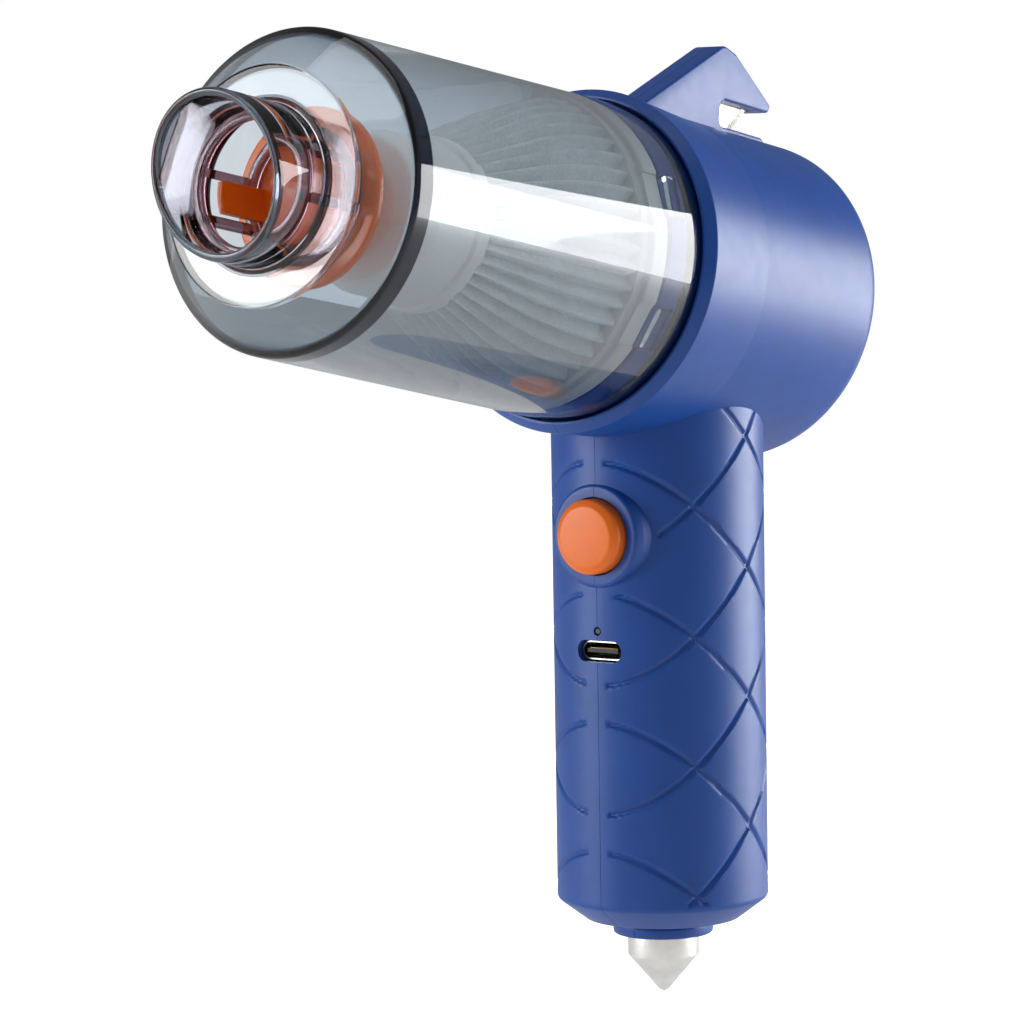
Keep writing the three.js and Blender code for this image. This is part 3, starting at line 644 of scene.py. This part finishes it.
def dress_frame():
    """Each CAD node takes the finish of its slot; the light guide is darker than the other clear parts."""
    for part in frame["record"]["subparts"]:
        coat(frame["nodes"][part["node"]].data, SLOT_FINISH[part["material_slot"]])
    coat(frame["nodes"]["light_pipe"].data, DEEP)


def fit(obj, body, material, replaces=()):
    """Gives a finished piece its material and its body, and hides the CAD nodes that it stands for."""
    coat(obj.data, material)
    for polygon in obj.data.polygons:
        polygon.material_index = 0
    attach(obj, body)
    if replaces:
        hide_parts(*replaces)
    return obj


# ---- camera and light ----
VIEW = {"azimuth": 37.263, "elevation": 4.51, "roll": -0.901, "distance": 717.4,
        "target": (-18.97, -18.49, 29.07), "lens": 140.6, "sensor": 36}
LIT_POINT = Vector((0, -0.04, 0.05))  # metres
# name: shares to the right, back to the camera and up, distance and size in metres, watts
SOFTBOXES = {
    "right_softbox": ((0.956, -0.292, 0.015), 1.1, (0.8, 0.61), 14),
    "left_softbox": ((-0.95, 0.27, 0.23), 1.2, (0.36, 0.4), 2.6),
    "left_fill": ((-0.98, 0.1, 0.05), 1.25, (0.6, 0.7), 6.5),
    "top_softbox": ((-0.1, 0.25, 1), 1.3, (1.0, 1.0), 4.5),
    "front_fill": ((-0.3, 1, 0.55), 1.6, (0.8, 0.8), 0.4),
}
SKY = {"lighting": 0.2, "seen": 1.0}
FLOOR = {"drop": 90, "radius": 3000, "depth": 5, "glow": 0.1, "glow_seen": 1.1}


def set_camera():
    """Puts the camera in its place. Gives the way back to it and the level way to its right."""
    azimuth, elevation, roll = (math.radians(VIEW[key]) for key in ("azimuth", "elevation", "roll"))
    back = Vector((math.sin(azimuth) * math.cos(elevation), -math.cos(azimuth) * math.cos(elevation),
                   math.sin(elevation)))
    level = Vector((math.cos(azimuth), math.sin(azimuth), 0))
    high = back.cross(level)
    right = level * math.cos(roll) + high * math.sin(roll)
    above = high * math.cos(roll) - level * math.sin(roll)
    data = bpy.data.cameras.new("camera")
    data.lens = VIEW["lens"]
    data.sensor_width = VIEW["sensor"]
    camera = placed("camera", data)
    spot = (Vector(VIEW["target"]) + back * VIEW["distance"]) * MM
    camera.matrix_world = axes(right, above, back, spot)
    bpy.context.scene.camera = camera
    return back, level


def softbox(name, towards, distance, size, power):
    """A rectangular light at a direction from the lit point, facing it."""
    data = bpy.data.lights.new(name, "AREA")
    data.shape = "RECTANGLE"
    data.size, data.size_y = size
    data.energy = power
    lamp = placed(name, data)
    lamp.location = LIT_POINT + towards.normalized() * distance
    lamp.rotation_euler = (LIT_POINT - lamp.location).to_track_quat("-Z", "Y").to_euler()


def set_sky():
    """A white sky that is brighter where it is seen than as a light."""
    world = bpy.data.worlds.new("studio")
    world.use_nodes = True
    sky = Wiring(world.node_tree)
    rays = sky.node("ShaderNodeLightPath").outputs
    seen = sky.maths("MAXIMUM", rays["Is Camera Ray"], rays["Is Transmission Ray"])
    background = sky.tree.nodes["Background"].inputs
    background["Color"].default_value = (1, 1, 1, 1)
    sky.feed(background["Strength"], sky.span(seen, SKY["lighting"], SKY["seen"]))
    bpy.context.scene.world = world


def set_floor():
    """A wide pale floor that glows where it is seen, so that no horizon shows."""
    finish = Finish("pale_floor_paint", Roughness=0.9, Emission_Color=(1, 1, 1, 1))
    finish.color(finish.ramp(finish.noise(60), [(0.3, (0.86, 0.86, 0.86)), (0.7, (0.9, 0.9, 0.9))]))
    rays = finish.node("ShaderNodeLightPath").outputs
    glow = finish.maths("ADD", finish.span(rays["Is Camera Ray"], FLOOR["glow"], FLOOR["glow_seen"]),
                        finish.span(rays["Is Glossy Ray"], 0, FLOOR["glow"]))
    finish.feed(finish.shader.inputs["Emission Strength"], glow)
    low = cad_box[0][2] / MM - FLOOR["drop"]
    floor = slab("floor", circle_of(FLOOR["radius"], 96), low - FLOOR["depth"], low, GRIP)
    coat(floor.data, finish.material)


def set_studio():
    back, level = set_camera()
    for name, ((to_right, to_camera, upwards), distance, size, power) in SOFTBOXES.items():
        towards = level * to_right + back * to_camera + Vector((0, 0, 1)) * upwards
        softbox(name, towards, distance, size, power)
    set_sky()
    set_floor()
    bpy.context.scene.view_settings.view_transform = "Standard"


# ---- dust cup ----
def slanted(point):
    """Moves the end of the nozzle forward at the top and back at the bottom."""
    x, y, z = point
    run = NOZZLE["mouth_s"] - NOZZLE["straight_to_s"]
    share = min(1, max(0, (z - NOZZLE["straight_to_s"]) / run))
    return x, y, z + share * y * math.tan(NOZZLE["slant"])


def at_lugs(name, inner_r, outer_r, stations, extra):
    """A block at each of the four lugs, wider than the lug by an extra on each side."""
    half = LUG["width"] / 2 + extra
    return [block(f"{name}_{i}", (-half, half), (inner_r, outer_r), stations, turned_about_barrel(angle))
            for i, angle in enumerate(LUG["angles"])]


def room_at_lugs(name, stations):
    return at_lugs(name, LUG["inner_r"] - LUG["room"], LUG["room_r"], stations, LUG["room"])


def dust_cup():
    inner_face = CUP["face_s"] - CUP["wall"]
    mouth = NOZZLE["mouth_s"]
    shell = turned("cup_shell", rounded([
        (CUP["back_r"], CUP["back_s"], 0.5), (CUP["ring_r"], CUP["ring_s"], 1.4),
        (CUP["face_r"], CUP["face_s"], 0.8), (NOZZLE["r"] + 0.7, CUP["face_s"], 0.4),
        (NOZZLE["r"] + 0.1, CUP["face_s"] + 0.7, 0.4),
        (NOZZLE["r"], NOZZLE["straight_to_s"]), (NOZZLE["r"], mouth, 0.65), (NOZZLE["bore_r"], mouth, 0.65),
        (NOZZLE["bore_r"], NOZZLE["straight_to_s"]), (NOZZLE["bore_r"], inner_face, 0.5),
        (CUP["face_r"] - 0.8, inner_face, 0.8), (CUP["ring_r"] - CUP["wall"], CUP["ring_s"] - 0.9, 1.0),
        (CUP["back_r"] - CUP["wall"], CUP["back_s"], 0.4),
    ], 5), 192, shift=slanted)
    outer_r = CUP["back_r"] - CUP["wall"] / 2
    lugs = at_lugs("lug", LUG["inner_r"], outer_r, (LUG["from_s"], LUG["to_s"]), 0)
    cup = joined(shell, *lugs)
    cup.name = "clear_dust_cup"
    soften(cup.data)
    return fit(cup, "cup", SMOKE_CLEAR, ["dust_cup"])


def inlet_cage():
    """Two rings joined by four ribs, inside the nozzle."""
    def ring(name, low, high):
        return turned(name, rounded([
            (CAGE["r"], low, 0.3), (CAGE["r"], high, 0.3), (CAGE["bore_r"], high, 0.3),
            (CAGE["bore_r"], low, 0.3),
        ], 3), 128)
    cage = ring("inlet_grid", CAGE["back_s"], CAGE["back_s"] + CAGE["ring"])
    parts = [ring("front_ring", CAGE["front_s"] - CAGE["ring"], CAGE["front_s"])]
    span = (CAGE["back_s"] + CAGE["ring"] / 2, CAGE["front_s"] - CAGE["ring"] / 2)
    half = CAGE["rib"] / 2
    for side in (90, -90):
        for lean in (-CAGE["rib_angle"], CAGE["rib_angle"]):
            place = turned_about_barrel(side + lean + CAGE["turn"])
            walls = (CAGE["bore_r"] + 0.1, CAGE["r"] - 0.15)
            parts.append(block("rib", (-half, half), walls, span, place))
    cage = joined(cage, *parts)
    soften(cage.data)
    return fit(cage, "cup", SMOKE_DARK, ["inlet_cage"])


def inlet_deflector():
    """The end disc that turns the air sideways, with a cheek standing up on each side of it."""
    disc_r, front, wall = DEFLECTOR["r"], DEFLECTOR["front_s"], DEFLECTOR["cheek_wall"]
    body = turned("air_deflector", rounded([
        (0, DEFLECTOR["back_s"]), (disc_r, DEFLECTOR["back_s"], 0.4), (disc_r, front, 0.5), (0, front),
    ], 4), 128)
    cheek_r, cheek_front = DEFLECTOR["cheek_r"], DEFLECTOR["cheek_front_s"]
    tube = turned("cheeks", [
        (cheek_r, front - 1), (cheek_r, cheek_front), (cheek_r - wall, cheek_front),
        (cheek_r - wall, front - 1),
    ], 128)
    half = cheek_r * math.sin(math.radians(DEFLECTOR["cheek_half"]))
    band = block("band", (-20, 20), (-half, half), (90, 115), turned_about_barrel(CAGE["turn"]))
    cheeks = combined(tube, [band], "INTERSECT")
    body = joined(body, cheeks)
    soften(body.data)
    return fit(body, "cup", ORANGE_GLOSS, ["inlet_deflector"])


# ---- filter ----
BOWL = [(14.2, PLEATS["front_s"]), (15.4, 67.6), (16.7, 65), (17.9, 62.5), (19.1, 60), (20.2, 57.4),
        (21.1, 54.6), (21.8, 51.6), (22.4, 48), (22.8, 44), (22.9, PLEATS["back_s"])]  # r, s of the crests
FOLD = [(-1, 0), (-0.62, 0.3), (-0.3, 0.86), (0, 1), (0.3, 0.86), (0.62, 0.3), (1, 0)]  # turn, lift


def pleat():
    """One fold of the filter paper, from valley to valley, as a closed strip."""
    turn = math.pi / PLEATS["count"]
    verts = []
    for layer in (0, PLEATS["wall"]):
        for r, s in BOWL:
            for share, lift in FOLD:
                radius = r - layer - PLEATS["depth"] * (1 - lift)
                angle = math.pi / 2 + share * turn
                verts.append((radius * math.cos(angle), radius * math.sin(angle), s))
    wide, tall = len(FOLD), len(BOWL)
    inner = wide * tall
    faces = []
    for i in range(tall - 1):
        for j in range(wide - 1):
            a = i * wide + j
            faces.append((a, a + 1, a + wide + 1, a + wide))
            faces.append((inner + a + wide, inner + a + wide + 1, inner + a + 1, inner + a))
    for j in range(wide - 1):
        faces.append((inner + j, inner + j + 1, j + 1, j))
        a = (tall - 1) * wide + j
        faces.append((a, a + 1, inner + a + 1, inner + a))
    return made("pleat_fold", verts, faces, GRIP, 80)


def pleated_filter():
    """The whole bowl, grown from copies of one fold."""
    fold = pleat()
    bowl = RING.grow("pleated_filter_paper", BARREL, Count=PLEATS["count"], First_angle=0.0, Piece=fold,
                     Material=PAPER)
    bpy.data.objects.remove(fold)
    put_outwards(bowl)
    soften(bowl.data, 75)
    return fit(bowl, "filter", PAPER, ["filter_pleats"])


def filter_cap():
    cap = turned("filter_end_cap", rounded([
        (0, 86.5), (8.5, 86.3, 3), (12.4, 84.9, 2), (13.6, 81.5, 2), (13.9, 72.8), (14.6, 72.4, 0.4),
        (14.6, 69.6, 0.5), (10.4, 69.6, 0.4), (11.3, 80, 2), (9.5, 83.4, 1.5), (0, 84.4),
    ], 6), 144)
    return fit(cap, "filter", IVORY, ["filter_cap"])


def filter_frame():
    """The spigot with its seal groove, and the flange with a flat for each lug of the cup."""
    outer, bore, flange = FILTER["spigot_r"], FILTER["bore_r"], FILTER["flange_r"]
    ring = turned("filter_frame_ring", rounded([
        (bore, FILTER["back_s"], 0.4), (outer, FILTER["back_s"], 0.6), (outer, 28.4), (outer - 1.2, 28.4),
        (outer - 1.2, 30.8), (outer, 30.8), (outer, FILTER["flange_from_s"]),
        (flange, FILTER["flange_from_s"], 0.4), (flange, FILTER["flange_to_s"], 0.6),
        (23.6, FILTER["flange_to_s"], 0.3), (23.3, FILTER["front_s"], 0.3), (bore, FILTER["front_s"], 0.3),
    ], 4), 160)
    ring = cut(ring, *room_at_lugs("flat", (FILTER["flange_from_s"] - 1, 41)))
    soften(ring.data)
    return fit(ring, "filter", IVORY, ["filter_frame"])


def seal(name, body, node):
    inner_r, outer_r, low, high = SEALS[name]
    ring = turned(name, rounded([
        (outer_r - 0.5, low, 0.2), (outer_r, low + 0.3, 0.3), (outer_r, high - 0.3, 0.3),
        (outer_r - 0.5, high, 0.2), (inner_r, high, 0.2), (inner_r, low, 0.2),
    ], 4), 128)
    return fit(ring, body, RUBBER, [node])


# ---- housing ----
def smooth_step(low, high, value):
    share = min(1.0, max(0.0, (value - low) / (high - low)))
    return share * share * (3 - 2 * share)


def groove_depth(x, y, z):
    """How deep the crossing grooves are at a point of the handle. They are straight in the side view."""
    steepness = math.sqrt(1 + (x / HANDLE["r"]) ** 2)
    nearest = GROOVE["pitch"]
    for slope in GROOVE["slopes"]:
        line = (z + slope * y - GROOVE["first_z"]) / GROOVE["pitch"]
        nearest = min(nearest, abs(line - round(line)) * GROOVE["pitch"] / steepness)
    if nearest >= GROOVE["half_width"]:
        return 0.0
    depth = GROOVE["depth"] * smooth_step(GROOVE["half_width"], GROOVE["half_width"] * 0.4, nearest)
    left, right = GROOVE["strip"]
    edge = -left if x < 0 else right
    depth *= smooth_step(edge - 0.2, edge + 0.2, abs(x))
    if y < 0:
        depth *= smooth_step(BOSS["root_r"] + 0.5, BOSS["root_r"] + 0.9, math.hypot(x, z - BUTTON["z"]))
    return depth * smooth_step(GROOVE["lowest_z"], GROOVE["lowest_z"] + 0.4, z)


def grip_form():
    """The handle as a fine grid, because the grooves are part of its surface."""
    top, bottom = HANDLE["top_z"], HANDLE["bottom_z"]
    neck_r, neck_z = HANDLE["neck_r"], HANDLE["neck_z"]
    full_r = HANDLE["r"] - 0.01
    base = rounded([
        (0, top), (0, neck_z), (neck_r - 0.2, neck_z, 0.5), (neck_r, bottom - 0.9, 0.6),
        (neck_r - 0.8, bottom - 0.5, 0.2), (neck_r - 0.8, bottom, 0.1), (HANDLE["bottom_r"], bottom, 0.9),
        (HANDLE["r"], HANDLE["crease_z"], 1.2), (HANDLE["r"], top),
    ], 5)
    fine = []
    for here, after in zip(base, base[1:] + base[:1]):
        fine.append(here)
        if here[0] > full_r and after[0] > full_r:
            count = int(abs(after[1] - here[1]) / GRID["step"])
            for k in range(1, count):
                fine.append(here + (after - here) * k / count)

    def grooved(point):
        x, y, z = point
        radius = math.hypot(x, y)
        if radius < full_r or z > HANDLE["smooth_from_z"]:
            return point
        share = 1 - groove_depth(x, y, z) / radius
        return x * share, y * share, z
    return turned("grip_form", fine, GRID["segments"], GRIP, shift=grooved)


def barrel_form():
    """The barrel outside, from the neck that holds the cup to the round back."""
    recess_r, rim = NECK["recess_r"], BODY["rim_r"]
    return turned("barrel_form", rounded([
        (0, NECK["front_s"]), (NECK["r"], NECK["front_s"], 0.5), (NECK["r"], NECK["floor_s"], 0.3),
        (recess_r, NECK["floor_s"], 0.3), (recess_r, 26.8, 0.1), (28.9, 26.8, 0.12),
        (rim, BODY["rim_s"], 0.5), (BODY["r"], BODY["taper_end_s"], 6), (BODY["r"], -5), (BODY["r"], -15),
        (BODY["r"], BODY["back_s"], BODY["back_round"]), (0, BODY["back_s"]),
    ], 10), 384)


def fin_form():
    """The fin on top of the barrel, with the slot that the belt goes into."""
    outline = rounded([
        (15.6, 28), (-11.3, 44.8, 2.6), (-15.4, 43.8, 1.6), (-28, 36.3, 0.8), (-27, SLOT["top_h"], 0.7),
        (SLOT["end_s"], SLOT["top_h"], 1.6), (SLOT["end_s"], SLOT["floor_h"], 1.4),
        (-25.6, SLOT["floor_h"], 1.2), (-28, 28.6), (-28, 26), (15.6, 26),
    ], 8)
    return slab("fin_form", outline, -FIN["half"], FIN["half"], bevel=FIN["bevel"], lie=in_fin)


def boss_form():
    """The raised round seat of the button."""
    return turned("boss_form", rounded([
        (0, BOSS["face"]), (0, 14), (BOSS["root_r"] + 0.2, 14), (BOSS["r"] + 0.6, 18.0, 1.5),
        (BOSS["r"], BOSS["face"], 0.8),
    ], 6), 128, on_front(BUTTON["z"]))


def screw_rods(name, radius, span):
    """A bar across the housing at each of the five screws."""
    rods = [rod(name, radius, span, (h, s), BARREL) for s, h in BARREL_SCREWS]
    return rods + [rod(name, radius, span, (y, z), GRIP) for y, z in HANDLE_SCREWS]


def round_slot(name, width, height, span):
    """A bar with round ends on the socket's axis, between two distances from the handle's axis."""
    outline = rectangle(width / 2, height / 2, height / 2, 8)
    return slab(name, outline, span[0], span[1], on_front(SOCKET["z"]))


def blade_outline(margin):
    """The blade's side view, let out by a margin except where its edge crosses the slot."""
    ways = ((1, 1), (-1, 1), (-1, 0), (-1, 0), (-1, -1), (1, -1))
    return [(s + margin * a, h + margin * b) for (s, h), (a, b) in zip(BLADE, ways)]


def screw_bosses():
    """The tubes that the screws go through, kept inside the barrel's and the handle's walls."""
    bosses = screw_rods("screw_boss", SCREW["boss_r"], (-SCREW["boss_reach"], SCREW["boss_reach"]))
    room = joined(cylinder("barrel_core", 28, -30, 24), cylinder("grip_core", 18, -40, 44, 128, GRIP))
    return combined(joined(*bosses), [room], "INTERSECT")


def housing():
    """One solid form, hollowed and bored, and cut into two halves along its middle."""
    form = joined(grip_form(), barrel_form(), fin_form(), boss_form())
    front, back, outside = BODY["bore_front_s"], BODY["bore_back_s"], 1
    neck_s, grille_s = NECK["front_s"] + outside, BODY["back_s"] - outside
    chamber = turned("chamber", [
        (0, neck_s), (NECK["bore_r"], neck_s), (NECK["bore_r"], front), (BODY["bore_r"], front),
        (BODY["bore_r"], back), (GRILLE["seat_r"], back), (GRILLE["seat_r"], grille_s), (0, grille_s),
    ], 128)
    hollow = turned("grip_hollow", [
        (0, 58), (HANDLE["bore_r"], 58), (HANDLE["bore_r"], -40.2), (13.2, -42.9), (0, -42.9),
    ], 96, GRIP)
    form = joined(cut(form, chamber, hollow), screw_bosses())
    lip_r, groove_r = 24.7, NECK["r"] + 0.2
    seal_groove = turned("seal_groove", [(lip_r, 26.8), (groove_r, 26.8), (groove_r, 29), (lip_r, 29)], 128)
    tip_r, shank_r = TIP["r"] + TIP["room"], TIP["shank_r"] + TIP["room"]
    tip_hole = turned("tip_hole", [
        (0, -49), (tip_r, -49), (tip_r, -46), (shank_r, -46), (shank_r, -42), (0, -42),
    ], 64, GRIP)
    form = cut(
        form, seal_groove, *room_at_lugs("notch", (LUG["from_s"] - LUG["room"], 36)),
        slab("blade_pocket", blade_outline(0.3), -0.8, 0.8, lie=in_fin),
        cylinder("button_hole", BUTTON["r"] + BUTTON["gap"], *HOLES, 96, on_front(BUTTON["z"])),
        cylinder("light_hole", LIGHT["hole_r"], *HOLES, 32, on_front(LIGHT["z"])), tip_hole,
        round_slot("socket_hole", SOCKET["width"], SOCKET["height"], HOLES),
        *screw_rods("pilot", SCREW["pilot_r"], (SCREW["seat_x"] - 1, SCREW["tip_x"] + 1)),
        *screw_rods("well", SCREW["well_r"], (-40, SCREW["seat_x"])))
    for name, node, low, high in (("housing_half_left", "housing_left", -60, -SPLIT_GAP),
                                  ("housing_half_right", "housing_right", SPLIT_GAP, 60)):
        half = combined(copied(form, name), [block("keep", (low, high), (-80, 80), (-80, 160), GRIP)],
                        "INTERSECT")
        soften(half.data, 34)
        fit(half, "housing", BLUE, [node])
    bpy.data.objects.remove(form)


def rear_cover():
    """The round grille in the back, with slots as long as the circle that they fill."""
    plate = turned("rear_grille", rounded([
        (0, BODY["back_s"]), (GRILLE["r"], BODY["back_s"], 0.5), (GRILLE["r"], -28.5), (24.5, -28.5),
        (24.5, -27.1), (20.4, -27.1), (20.4, -28.9), (0, -28.9),
    ], 4), 144)
    bar = slab("slot_bar", rectangle(1, GRILLE["slot_half"], 0.04, 3), -33, -27.5, GRIP)
    for vertex in bar.data.vertices:
        vertex.co.x /= MM  # a metre each way, for the tree to scale down
    slots = BARS.grow("slots", BARREL, Count=GRILLE["slots"], Pitch=GRILLE["pitch"] * MM,
                      Radius=GRILLE["reach"] * MM, Piece=bar, Material=BLUE)
    bpy.data.objects.remove(bar)
    put_outwards(slots)
    plate = cut(plate, slots)
    soften(plate.data)
    return fit(plate, "housing", BLUE_MATT, ["rear_cover"])


def belt_blade():
    """A flat blade whose slanting edge across the slot is ground thin."""
    heel_top, high, top, low, foot, heel_low = [np.array(corner) for corner in BLADE]
    way = (low - top) / np.linalg.norm(low - top)
    inward = np.array([-way[1], way[0]])
    if inward[0] < 0:
        inward = -inward
    ahead = np.array([1, 0])
    flat = [heel_top, high + ahead * GRIND, top + inward * GRIND, low + inward * GRIND,
            foot + ahead * GRIND, heel_low]
    edge = [high, top, low, foot]
    verts = [(x, h, s) for x in (0.5, -0.5) for s, h in flat] + [(0, h, s) for s, h in edge]
    count = len(flat)
    faces = [tuple(range(count)), tuple(reversed(range(count, 2 * count)))]
    for i in (0, 4, 5):
        j = (i + 1) % count
        faces.append((i, j, count + j, count + i))
    keen = 2 * count
    for i in range(3):
        faces.append((i + 1, keen + i, keen + i + 1, i + 2))
        faces.append((count + i + 1, count + i + 2, keen + i + 1, keen + i))
    faces.append((1, count + 1, keen))
    faces.append((4, keen + 3, count + 4))
    blade = made("belt_blade", verts, faces, BARREL, 15)
    put_outwards(blade)
    soften(blade.data, 10)
    return fit(blade, "housing", STEEL, ["belt_cutter_blade"])


# ---- handle fittings ----
def power_button():
    """A low domed cap, hollow behind, with a flange that holds it in and a stem for the switch."""
    face = BUTTON["face"]
    cap = turned("orange_power_button", rounded([
        (0, face), (3.2, face - 0.04), (5.4, face - 0.18, 1.0), (BUTTON["r"], face - 1.0, 0.9),
        (BUTTON["r"], 14.3), (8.1, 14.3), (8.1, 13.1), (5.4, 13.1), (5.4, 20.5), (2, 20.5), (2, 12.6),
        (0, 12.6),
    ], 6), 128, on_front(BUTTON["z"]))
    return fit(cap, "button", ORANGE, ["power_button"])


def charging_socket():
    """A steel shell, a black tongue with its root, and the gilt contacts on the tongue."""
    shell = round_slot("socket_shell", 8.9, 3.3, (7.7, 17.3))
    shell = cut(shell, round_slot("shell_room", 8.45, 2.85, (9, 19)))
    soften(shell.data)
    fit(shell, "housing", STEEL, ["usb_shell"])
    tongue = slab("socket_tongue", rectangle(3.3, 0.35, 0.2, 3), 9.3, 17.5, on_front(SOCKET["z"]))
    tongue = joined(tongue, round_slot("tongue_root", 7.7, 2.1, (9.3, 11)))
    fit(tongue, "housing", BLACK, ["usb_tongue"])
    strip = block("contact_strip", (-0.13, 0.13), (0.3, 0.42), (11.2, 17.1), GRIP)
    count, pitch = SOCKET["contacts"], SOCKET["contact_pitch"]
    guide = made("contact_guide", [((i - (count - 1) / 2) * pitch, 0, 0) for i in range(count)], [])
    contacts = ON_POINTS.grow("socket_contacts", on_front(SOCKET["z"]), Guide=guide, Piece=strip,
                              Material=GOLD)
    bpy.data.objects.remove(strip)
    bpy.data.objects.remove(guide)
    return fit(contacts, "housing", GOLD)


def breaker_tip():
    """The steel point: a head held inside the handle, a shank, and the cone that breaks glass."""
    head_r, shank_r, point = TIP["head_r"], TIP["shank_r"], TIP["point_z"]
    tip = turned("glass_breaking_point", rounded([
        (0, -40.6), (head_r, -40.6, 0.3), (head_r, -42.6, 0.3), (shank_r, -42.6), (shank_r, -46.3),
        (TIP["r"], -46.3, 0.2), (TIP["r"], TIP["edge_z"], 0.12), (0.9, point + 0.5, 0.7), (0, point),
    ], 6), 144, GRIP, degrees=24)
    return fit(tip, "housing", TURNED, ["window_breaker"])


def screws():
    """Five pan-head screws with a cross recess, all driven from the left."""
    x, head_r, end_x = SCREW["seat_x"], SCREW["head_r"], SCREW["tip_x"]
    along_x = axes((0, 1, 0), (0, 0, 1), (1, 0, 0))
    body = turned("screw_body", rounded([
        (0, x - 1.9), (head_r - 0.4, x - 1.9, 0.8), (head_r, x - 1.2, 0.3), (head_r, x - 0.3, 0.2),
        (SCREW["r"], x - 0.3), (SCREW["r"], end_x - 1.2), (0, end_x),
    ], 4), 48, along_x)
    for a, b in (SCREW["cross"], SCREW["cross"][::-1]):
        body = cut(body, block("recess", (x - 3, x - 1.1), (-a, a), (-b, b), GRIP))
    soften(body.data)
    places = [BARREL @ Vector((0, h * MM, s * MM)) for s, h in BARREL_SCREWS]
    places += [Vector((0, y * MM, z * MM)) for y, z in HANDLE_SCREWS]
    guide = made("screw_guide", [tuple(p / MM) for p in places], [])
    group = ON_POINTS.grow("housing_screws", GRIP, Guide=guide, Piece=body, Material=PLATED)
    bpy.data.objects.remove(body)
    bpy.data.objects.remove(guide)
    nodes = [f"housing_screw_{i + 1}" for i in range(len(places))]
    return fit(group, "housing", PLATED, nodes)


# ---- the scene ----
set_studio()
dress_frame()
dust_cup()
inlet_cage()
inlet_deflector()
pleated_filter()
filter_cap()
filter_frame()
seal("spigot_seal", "filter", "filter_seal")
seal("cup_end_seal", "housing", "cup_seal")
housing()
rear_cover()
belt_blade()
power_button()
charging_socket()
breaker_tip()
screws()
